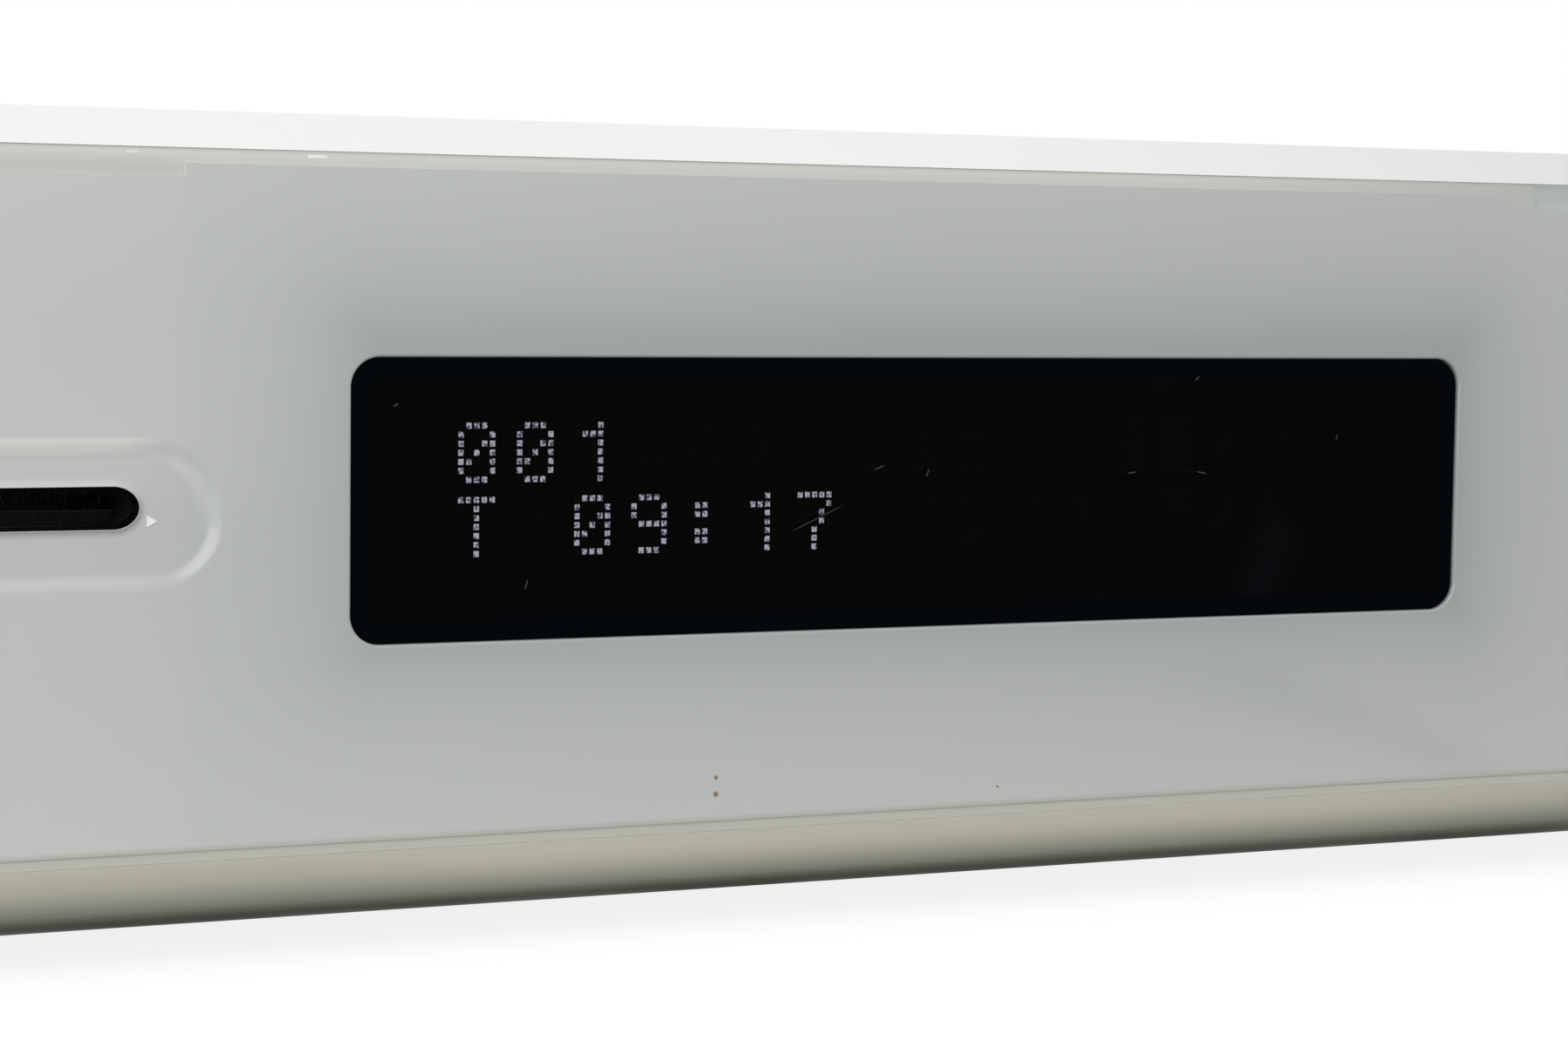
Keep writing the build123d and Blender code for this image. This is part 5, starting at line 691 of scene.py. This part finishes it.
def ring(shape, outline, grow, y):
    """One closed ring of edges that faces the front, grown by an amount, at a depth."""
    made = bmesh.ops.create_circle(shape, segments=RING_SEGMENTS, radius=1.0)["verts"]
    half_step = Matrix.Rotation(radians(180) / RING_SEGMENTS, 3, "Z")
    bmesh.ops.rotate(shape, verts=made, matrix=half_step)
    quarters = {
        (side_x, side_z): [v for v in made if v.co.x * side_x > 0 and v.co.y * side_z > 0]
        for side_x in (-1, 1)
        for side_z in (-1, 1)
    }
    reach = (outline["round_x"] + grow, outline["round_z"] + grow, 1.0)
    bmesh.ops.scale(shape, verts=made, vec=reach)
    apart_x = outline["width"] / 2 - outline["round_x"]
    apart_z = outline["height"] / 2 - outline["round_z"]
    for (side_x, side_z), quarter in quarters.items():
        bmesh.ops.translate(shape, verts=quarter, vec=(side_x * apart_x, side_z * apart_z, 0))
    bmesh.ops.rotate(shape, verts=made, matrix=Matrix.Rotation(radians(90), 3, "X"))
    bmesh.ops.translate(shape, verts=made, vec=(outline["x"], y, outline["z"]))
    return edges_of(made)


print("rings of", RING_SEGMENTS, "edges")

# %% Stacks of rings
EDGE_STEPS = 4


def bridge(shape, rings):
    """Faces between each ring and the next. Gives the first ring and the last."""
    for near, far in zip(rings, rings[1:]):
        bmesh.ops.bridge_loops(shape, edges=near + far)
    return rings[0], rings[-1]


def stack(shape, outline, profile):
    """Bridged rings along a profile of (grow, y). Gives the first ring and the last."""
    return bridge(shape, [ring(shape, outline, grow, y) for grow, y in profile])


def close(shape, ends):
    """Fills the open rings at the ends of a stack, and turns all the faces outwards."""
    for edges in ends:
        bmesh.ops.edgeloop_fill(shape, edges=edges)
    bmesh.ops.recalc_face_normals(shape, faces=shape.faces)


def rounded_edge(radius):
    """The profile of a hole's rounded front edge, from the face into the hole."""
    turns = [radians(90) * step / EDGE_STEPS for step in range(EDGE_STEPS + 1)]
    return [(radius * (1 - sin(turn)), FRONT + radius * (1 - cos(turn))) for turn in turns]


print("stacks ready, with", EDGE_STEPS, "steps to a rounded edge")

# %% Make a piece of a mesh
SHARP_FROM, BEVEL_FROM, BEVEL_SEGMENTS = radians(40), radians(28), 3


def piece_of(name, shape, finish, body="root", stands_for=(), edge=0.0, flat=False):
    """Turns a bmesh in millimetres into a piece that rides on a body and may stand for nodes."""
    bmesh.ops.scale(shape, verts=shape.verts, vec=(MM, MM, MM))
    data = bpy.data.meshes.new(name)
    shape.to_mesh(data)
    shape.free()
    data.materials.append(finish.material)
    piece = bpy.data.objects.new(name, data)
    bpy.context.scene.collection.objects.link(piece)
    if edge:
        rounding = piece.modifiers.new("rounded edges", "BEVEL")
        rounding.width = edge * MM
        rounding.segments = BEVEL_SEGMENTS
        rounding.limit_method = "ANGLE"
        rounding.angle_limit = BEVEL_FROM
        rounding.use_clamp_overlap = True
    if not flat:
        data.shade_smooth()
        data.set_sharp_from_angle(angle=SHARP_FROM)
        even = piece.modifiers.new("even shading", "WEIGHTED_NORMAL")
        even.weight = 100
        even.keep_sharp = True
    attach(piece, body)
    for node in stands_for:
        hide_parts(node)


print("piece helper ready")

# %% [markdown]
# ## The fascia
#
# One large glossy moulding. Its recess is a shallow stadium whose edges are so soft that they
# only show as a change of shade, and a thin lip stands round the slot. The flat face between
# the openings is filled by `triangle_fill`, which takes all the rings at once. Weighted
# normals keep that face flat in the light, though its triangles are long and thin.

# %% Profiles of the recess and the lip
RECESS_DEPTH = 0.38
RECESS_OUTER, RECESS_INNER, RECESS_STEPS = 0.3, -1.6, 12
LIP_HEIGHT, LIP_SOFT, LIP_ROUND = 0.38, 1.0, 0.1
LIP_STEPS, LIP_CURVE = 8, 2.6
FLOOR_OF_RECESS = FRONT + RECESS_DEPTH
LIP_TOP = FLOOR_OF_RECESS - LIP_HEIGHT


def part_way(start, end, share):
    """The value that lies a share of the way from start to end."""
    return start + (end - start) * share


recess_profile, lip_profile = [], []
for share in [step / RECESS_STEPS for step in range(RECESS_STEPS + 1)]:
    soft_share = (1 - cos(radians(180) * share)) / 2
    depth = part_way(FRONT, FLOOR_OF_RECESS, soft_share)
    recess_profile.append((part_way(RECESS_OUTER, RECESS_INNER, share), depth))
for share in [step / LIP_STEPS for step in range(LIP_STEPS + 1)]:
    depth = FLOOR_OF_RECESS - LIP_HEIGHT * share**LIP_CURVE
    lip_profile.append((part_way(LIP_SOFT, LIP_ROUND, share), depth))
lip_profile += [(grow, y + LIP_TOP - FRONT) for grow, y in rounded_edge(LIP_ROUND)[1:]]
lip_profile.append((0.0, FASCIA_BACK))
print(len(recess_profile), "rings in the recess,", len(lip_profile), "in the lip")

# %% Fascia border
FASCIA_LOW, FASCIA_HIGH, ZONE_HIGH = 12.205, 78.39, 79.69
FASCIA_HALF, ZONE_START, ZONE_END = 200.0, -8.33, 150.83
FACE_ROUND = 0.03


def fascia_border(shape, shrink, y):
    """The fascia's outer border, with the raised part above the window."""
    low, high, zone = FASCIA_LOW + shrink, FASCIA_HIGH - shrink, ZONE_HIGH - shrink
    half, zone_left, zone_right = FASCIA_HALF - shrink, ZONE_START + shrink, ZONE_END - shrink
    places = (
        (-half, low), (half, low), (half, high), (zone_right, high),
        (zone_right, zone), (zone_left, zone), (zone_left, high), (-half, high),
    )
    corners = [shape.verts.new((x, y, z)) for x, z in places]
    return [shape.edges.new((a, b)) for a, b in zip(corners, corners[1:] + corners[:1])]


border_profile = [*rounded_edge(FACE_ROUND), (0.0, FASCIA_BACK)]
print("fascia", 2 * FASCIA_HALF, "mm wide")

# %% Fascia
WINDOW_EDGE, BUTTON_EDGE, JACK_EDGE = 0.35, 0.25, 0.2

fascia_mesh = bmesh.new()
borders = [fascia_border(fascia_mesh, grow, y) for grow, y in border_profile]
front_edges, back_edges = (list(edges) for edges in bridge(fascia_mesh, borders))
recess_start, recess_foot = stack(fascia_mesh, RECESS, recess_profile)
lip_foot, slot_back = stack(fascia_mesh, SLOT, lip_profile)
bmesh.ops.triangle_fill(
    fascia_mesh, use_beauty=True, edges=recess_foot + lip_foot, normal=(0, -1, 0)
)
front_edges += recess_start
back_edges += slot_back

jack_outline = round_outline(JACK[0], JACK[1], JACK[2] + JACK_GAP)
holes = [(WINDOW, WINDOW_EDGE), (MEDIA, BUTTON_EDGE), (jack_outline, JACK_EDGE)]
for x, z, radius in BUTTONS.values():
    holes.append((round_outline(x, z, radius + BUTTON_GAP), BUTTON_EDGE))
for outline, radius in holes:
    start, end = stack(fascia_mesh, outline, [*rounded_edge(radius), (0.0, FASCIA_BACK)])
    front_edges += start
    back_edges += end

for edges, facing in ((front_edges, (0, -1, 0)), (back_edges, (0, 1, 0))):
    bmesh.ops.triangle_fill(fascia_mesh, use_beauty=True, edges=edges, normal=facing)
bmesh.ops.recalc_face_normals(fascia_mesh, faces=fascia_mesh.faces)
open_edges = [edge for edge in fascia_mesh.edges if not edge.is_manifold]
print(len(fascia_mesh.faces), "faces,", len(open_edges), "open edges")
piece_of("fascia", fascia_mesh, fascia_grey, stands_for=["front_fascia"])

# %% [markdown]
# ## Cover, carrier and lower shell
#
# These three have the right shape already, but a CAD mesh ends in knife edges, and a real
# moulding never does: its edges are rounded by a tenth or two of a millimetre, and that is
# where the light catches. So each one is a copy of its node, merged first, with a Bevel
# modifier.

# %% Copies of the nodes
MERGE_WITHIN, FLAT_WITHIN = 0.001, radians(0.5)


def copy_of(node):
    """The CAD node's mesh in millimetres, with its doubles merged and its flat faces whole."""
    shape = bmesh.new()
    shape.from_mesh(nodes[node].data)
    bmesh.ops.scale(shape, verts=shape.verts, vec=(1 / MM, 1 / MM, 1 / MM))
    bmesh.ops.remove_doubles(shape, verts=shape.verts, dist=MERGE_WITHIN)
    bmesh.ops.dissolve_limit(
        shape, angle_limit=FLAT_WITHIN, verts=shape.verts, edges=shape.edges
    )
    return shape


print("copies ready")

# %% Case pieces with rounded edges
LIFTED_ABOVE, CARRIER_LIFT = 80.75, 0.345  # the parting line closes up by the lift
CASE_PIECES = (  # piece, node, finish and how far its edges are rounded
    ("cover", "top_cover", cover_white, 0.18),
    ("carrier", "front_carrier", carrier_warm, 0.05),
    ("shell", "lower_shell", shell_beige, 0.25),
)

for name, node, finish, edge in CASE_PIECES:
    shape = copy_of(node)
    if name == "carrier":
        upper_edge = [vertex for vertex in shape.verts if vertex.co.z > LIFTED_ABOVE]
        bmesh.ops.translate(shape, verts=upper_edge, vec=(0, 0, CARRIER_LIFT))
    piece_of(name, shape, finish, stands_for=[node], edge=edge)
print(len(CASE_PIECES), "case pieces rounded")

# %% [markdown]
# ## The display
#
# A dot-matrix tube glows behind a smoked lens. The dots could be painted by a shader, but then
# they would blur as soon as the surface is baked. Here every dot is a small flat tile just in
# front of the tube, lit or dark, and the lens before them is half clear. The lit ones say a
# plain counter and a time, in five by seven dots a character.

# %% Dot sizes, in millimetres
EYE_TO_FACE = 327.9  # from the camera to the front, along Y
DOT_DEPTH = 5.9  # how far the tiles lie behind the front
BEHIND = 1 + DOT_DEPTH / EYE_TO_FACE  # what lies deeper is this much larger
DOT_WIDTH, DOT_HEIGHT, DOT_THICK = 0.55, 0.6, 0.04
DOT_STEP_X, DOT_STEP_Z = 0.84, 0.915
CHARACTER_STEP, LINE_STEP = 6.28, 7.54
FIRST_DOT = (20.0, 54.0)
COLUMNS = 16
GLYPHS = {  # seven rows of five dots
    "0": ".XXX. X...X X..XX X.X.X XX..X X...X .XXX.",
    "1": "...X. .XXX. ...X. ...X. ...X. ...X. ...X.",
    "7": "XXXXX ....X ...X. ...X. ..X.. ..X.. ..X..",
    "9": ".XXX. X...X X...X .XXXX ....X ....X .XXX.",
    "T": "XXXXX ..X.. ..X.. ..X.. ..X.. ..X.. ..X..",
    ":": "..... .XX.. .XX.. ..... .XX.. .XX.. .....",
    " ": "..... ..... ..... ..... ..... ..... .....",
}
LINES = ("001", "T 09:17")


def deeper(x, z):
    """Where a point seen on the front lies on the tiles' level."""
    eye_x, eye_z = CAMERA_PLACE.x / MM, CAMERA_PLACE.z / MM
    return eye_x + (x - eye_x) * BEHIND, eye_z + (z - eye_z) * BEHIND


print(COLUMNS, "characters a line")

# %% Dots
def add_bar(shape, x, z, y, width, height, thick, turn=0.0):
    """A small flat bar that faces the front, turned from level, in degrees."""
    place = Matrix.Translation((x, y, z)) @ Matrix.Rotation(radians(turn), 4, "Y")
    size = Matrix.Diagonal((width, thick, height, 1))
    bmesh.ops.create_cube(shape, size=1.0, matrix=place @ size)


lit_mesh, dark_mesh = bmesh.new(), bmesh.new()
tile = (FRONT + DOT_DEPTH, DOT_WIDTH * BEHIND, DOT_HEIGHT * BEHIND, DOT_THICK)
for line, words in enumerate(LINES):
    for column, character in enumerate(words.ljust(COLUMNS)):
        for down, dots in enumerate(GLYPHS[character].split()):
            for across, dot in enumerate(dots):
                x = FIRST_DOT[0] + column * CHARACTER_STEP + across * DOT_STEP_X
                z = FIRST_DOT[1] - line * LINE_STEP - down * DOT_STEP_Z
                add_bar(lit_mesh if dot == "X" else dark_mesh, *deeper(x, z), *tile)
print(len(lit_mesh.verts) // 8, "lit dots and", len(dark_mesh.verts) // 8, "dark ones")

# %% Glow of the dots
# The dark dots' faint glow is painted light, for the lamp's light on them behind the lens.
LIT_STRENGTH, DARK_DOT_GLOW = 14.0, 5.0

phosphor = Finish("phosphor", (160, 156, 170), 0.6)
mesh_marks = phosphor.place.noise(0.26, detail=1.0).between(0.5, 0.58)
phosphor.set("Emission Color", mesh_marks.mix(linear(226, 221, 240), linear(104, 99, 120)))
phosphor.set("Emission Strength", LIT_STRENGTH)
dead_phosphor = Finish("dead_phosphor", (46, 26, 20), 0.7)
dead_phosphor.vary((30, 14, 16), dead_phosphor.place.noise(9))
dead_phosphor.set("Emission Color", linear(16, 7, 6)).set("Emission Strength", DARK_DOT_GLOW)

piece_of("lit_dots", lit_mesh, phosphor, flat=True)
piece_of("dark_dots", dark_mesh, dead_phosphor, flat=True)
print("dots glow with", LIT_STRENGTH, "and", DARK_DOT_GLOW)

# %% Lens
LENS_GAP, LENS_FRONT, LENS_BACK, LENS_ROUND = 0.12, -134.75, -132.0, 0.25

lens_size = {side: WINDOW[side] - 2 * LENS_GAP for side in ("width", "height")}
lens_profile = [(-grow, y - FRONT + LENS_FRONT) for grow, y in rounded_edge(LENS_ROUND)]
lens_profile.append((0.0, LENS_BACK))
lens_mesh = bmesh.new()
close(lens_mesh, stack(lens_mesh, {**WINDOW, **lens_size}, lens_profile))
print("lens", len(lens_mesh.faces), "faces")
piece_of("lens", lens_mesh, lens_black, stands_for=["display_lens"])

# %% [markdown]
# ## Mark beside the slot
#
# A tiny printed triangle shows which way the disc goes in. It is a three-sided prism, a tenth
# of a millimetre thick, because a printed mark that is a mesh keeps its sharp corners in every
# view.

# %% Slot mark
MARK_X, MARK_Z, MARK_RADIUS, MARK_THICK = -11.66, 44.85, 0.66, 0.1


def add_prism(shape, x, z, y, radius, thick, turn):
    """A flat triangle that faces the front, with a corner turned from straight up, in degrees."""
    place = (
        Matrix.Translation((x, y, z))
        @ Matrix.Rotation(radians(turn), 4, "Y")
        @ Matrix.Rotation(radians(90), 4, "X")
    )
    cone = {"cap_ends": True, "segments": 3, "radius1": radius, "radius2": radius}
    bmesh.ops.create_cone(shape, depth=thick, matrix=place, **cone)


ink_white = Finish("ink_white", (246, 247, 246), 0.5)
ink_white.vary((238, 239, 238), ink_white.place.noise(1.5))
mark_mesh = bmesh.new()
mark_y = FLOOR_OF_RECESS - MARK_THICK / 2
add_prism(mark_mesh, MARK_X, MARK_Z, mark_y, MARK_RADIUS, MARK_THICK, turn=90)
print("mark", len(mark_mesh.verts), "corners")
piece_of("slot_mark", mark_mesh, ink_white, flat=True)

# %% [markdown]
# ## Push buttons
#
# Each button is one turned shape: a cap with a shallow dish for the fingertip, a rounded edge,
# the flange that keeps it in the front and the stem that reaches its switch. So it is a stack
# of circles, as the openings are. It rides on its own body, and its printed sign rides with it.

# %% Button caps
CAP_BACK, FLANGE_BACK, STEM_BACK = -128.7, -127.7, -126.2
DISH_DEPTH, CAP_ROUND, FLANGE_REACH, STEM_RADIUS = 0.3, 0.4, 1.4, 1.5
DISH_SHARES = (0.1, 0.28, 0.46, 0.64, 0.82, 1.0)


def dish_y(radius, reach):
    """How deep the dish lies, at a distance from the button's middle."""
    return FRONT + DISH_DEPTH * (1 - (reach / (radius - CAP_ROUND)) ** 2)


def cap_profile(radius):
    """From the middle of the dish over the rounded edge to the end of the stem."""
    reaches = [(radius - CAP_ROUND) * share for share in DISH_SHARES]
    stem = STEM_RADIUS - radius
    return [
        *((reach - radius, dish_y(radius, reach)) for reach in reaches),
        *((-grow, y) for grow, y in rounded_edge(CAP_ROUND)[1:]),
        (0, CAP_BACK), (FLANGE_REACH, CAP_BACK), (FLANGE_REACH, FLANGE_BACK),
        (stem, FLANGE_BACK), (stem, STEM_BACK),
    ]


for name, (x, z, radius) in BUTTONS.items():
    cap_mesh = bmesh.new()
    close(cap_mesh, stack(cap_mesh, round_outline(x, z, radius), cap_profile(radius)))
    cap = name.replace("button", "cap")
    piece_of(cap, cap_mesh, button_white, body=name, stands_for=[name])
print(len(BUTTONS), "caps")

# %% [markdown]
# ## Signs on the buttons
#
# The signs are the plain ones that every player has. They are printed, so they are tiles and
# prisms less than a tenth of a millimetre thick, laid on the dish.

# %% Signs
SIGN_THICK, SIGN_LIFT = 0.08, 0.005
BAR, LONG_BAR = 0.42, 1.9
RING_REACH, RING_WIDTH, RING_TILE = 2.0, 0.45, 0.9
POWER_RING = [
    ("bar", RING_REACH * sin(radians(turn)), RING_REACH * cos(radians(turn)),
     RING_TILE, RING_WIDTH, turn)
    for turn in range(40, 330, 20)
]
SIGNS = {  # kind, place from the middle, and the measures of add_sign
    "power_button": [("bar", 0, 1.75, RING_WIDTH, 1.7), *POWER_RING],
    "eject_button": [("corner", 0, 0.2, 1.15, 0), ("bar", 0, -1.0, LONG_BAR, BAR)],
    "play_button": [("corner", 0.1, 0, 1.3, 90)],
    "source_button": [("corner", -0.35, 0, 1.0, 90), ("bar", 0.75, 0, BAR, LONG_BAR)],
    "volume_down_button": [("bar", 0, 0, LONG_BAR, BAR)],
    "volume_up_button": [("bar", 0, 0, LONG_BAR, BAR), ("bar", 0, 0, BAR, LONG_BAR)],
}


def add_sign(shape, kind, x, z, y, *measures):
    """One bar, by its width, height and turn, or one corner, by its radius and turn."""
    if kind == "bar":
        width, height, *turn = measures
        add_bar(shape, x, z, y, width, height, SIGN_THICK, *turn)
    else:
        radius, turn = measures
        add_prism(shape, x, z, y, radius, SIGN_THICK, turn)


ink_grey = Finish("ink_grey", (118, 120, 122), 0.45)
ink_grey.vary((132, 134, 136), ink_grey.place.noise(1.2))
for name, parts in SIGNS.items():
    x, z, radius = BUTTONS[name]
    sign_mesh = bmesh.new()
    for kind, side, rise, *measures in parts:
        depth = dish_y(radius, (side**2 + rise**2) ** 0.5) - SIGN_LIFT
        add_sign(sign_mesh, kind, x + side, z + rise, depth, *measures)
    sign = name.replace("button", "sign")
    piece_of(sign, sign_mesh, ink_grey, body=name, flat=True)
print(len(SIGNS), "signs")

# %% [markdown]
# ## Phono jacks
#
# A phono jack is a nickel-plated sleeve round a coloured insulator, white for the left channel
# and red for the right one, with a hole in its middle. Four of them stand on one black block.
# The sleeve and the insulator are turned shapes again, so they are stacks of circles that now
# face the back.

# %% Phono jacks
PANEL_Y = 125.8
PHONO_XS, PHONO_ZS = (-72.0, -56.0), (22.0, 36.0)
PHONO_BLOCK = {"half": 5.5, "front": 113.8, "low": 14.0, "high": 41.5, "bevel": 0.4}
SLEEVE = [  # pairs of radius and y
    (3.35, 133.2), (3.35, 134.75), (3.45, 134.95), (3.95, 134.95), (4.1, 134.8),
    (4.1, 127.8), (4.1, PANEL_Y),
]
INSULATOR = [(1.65, 126.5), (1.65, 134.2), (1.85, 134.4), (3.35, 134.4)]  # the same


def add_turned(shape, x, z, profile):
    """A turned shape along Y, from pairs of radius and y, with both ends filled."""
    rings = [(radius - 1.0, y) for radius, y in profile]
    close(shape, stack(shape, round_outline(x, z, 1.0), rings))


def add_block(shape, low, high, bevel):
    """A block between two corners, with rounded edges."""
    middle = Matrix.Translation([(a + b) / 2 for a, b in zip(low, high)])
    size = Matrix.Diagonal([*(b - a for a, b in zip(low, high)), 1])
    made = bmesh.ops.create_cube(shape, size=1.0, matrix=middle @ size)["verts"]
    rounding = {"offset": bevel, "segments": 2, "profile": 0.5, "affect": "EDGES"}
    bmesh.ops.bevel(shape, geom=edges_of(made), material=-1, **rounding)


nickel = plated("nickel", (206, 205, 200), 0.2, grain=0.3)
ring_white = satin_plastic("ring_white", (228, 228, 224), (214, 214, 208), roughness=0.35)
ring_red = satin_plastic("ring_red", (176, 32, 34), (158, 26, 28), roughness=0.35)

block_mesh, sleeve_mesh = bmesh.new(), bmesh.new()
insulator_meshes = (bmesh.new(), bmesh.new())
for x in PHONO_XS:
    low = (x - PHONO_BLOCK["half"], PHONO_BLOCK["front"], PHONO_BLOCK["low"])
    high = (x + PHONO_BLOCK["half"], PANEL_Y, PHONO_BLOCK["high"])
    add_block(block_mesh, low, high, PHONO_BLOCK["bevel"])
    for z, insulator_mesh in zip(PHONO_ZS, insulator_meshes):
        add_turned(sleeve_mesh, x, z, SLEEVE)
        add_turned(insulator_mesh, x, z, INSULATOR)
piece_of("phono_blocks", block_mesh, black_plastic, stands_for=["phono_jacks"])
piece_of("phono_sleeves", sleeve_mesh, nickel)
for finish, insulator_mesh in zip((ring_red, ring_white), insulator_meshes):
    piece_of("phono_" + finish.name, insulator_mesh, finish)
print(len(PHONO_XS) * len(PHONO_ZS), "phono jacks")

# %% [markdown]
# ## Colours by the speaker sockets
#
# Each speaker socket has a coloured bar over it, and its plug has the same colour. The bars are
# thin inserts in the black block.

# %% Speaker bars
SPEAKER_X, SPEAKER_Z, SPEAKER_FACE = 118.0, 27.5, 127.6
SPEAKER_STEP_X, SPEAKER_STEP_Z, BAR_RISE = 17.0, 12.0, 3.4
BAR_LONG, BAR_TALL, BAR_PROUD, BAR_SUNK, BAR_BEVEL = 9.0, 1.2, 0.12, 0.05, 0.05
BAR_COLOURS = (
    ("bar_red", (176, 36, 34)), ("bar_white", (228, 228, 222)), ("bar_green", (44, 128, 68)),
    ("bar_blue", (40, 84, 158)), ("bar_grey", (128, 128, 130)), ("bar_brown", (108, 74, 46)),
)
for index, (name, colour) in enumerate(BAR_COLOURS):
    row, column = divmod(index, 3)
    x = SPEAKER_X + (column - 1) * SPEAKER_STEP_X
    z = SPEAKER_Z + (row - 0.5) * SPEAKER_STEP_Z + BAR_RISE
    bar_finish = satin_plastic(name, colour, [level * 0.9 for level in colour], roughness=0.35)
    bar_mesh = bmesh.new()
    low = (x - BAR_LONG / 2, SPEAKER_FACE - BAR_SUNK, z - BAR_TALL / 2)
    high = (x + BAR_LONG / 2, SPEAKER_FACE + BAR_PROUD, z + BAR_TALL / 2)
    add_block(bar_mesh, low, high, BAR_BEVEL)
    piece_of(name, bar_mesh, bar_finish, flat=True)
print(len(BAR_COLOURS), "bars")
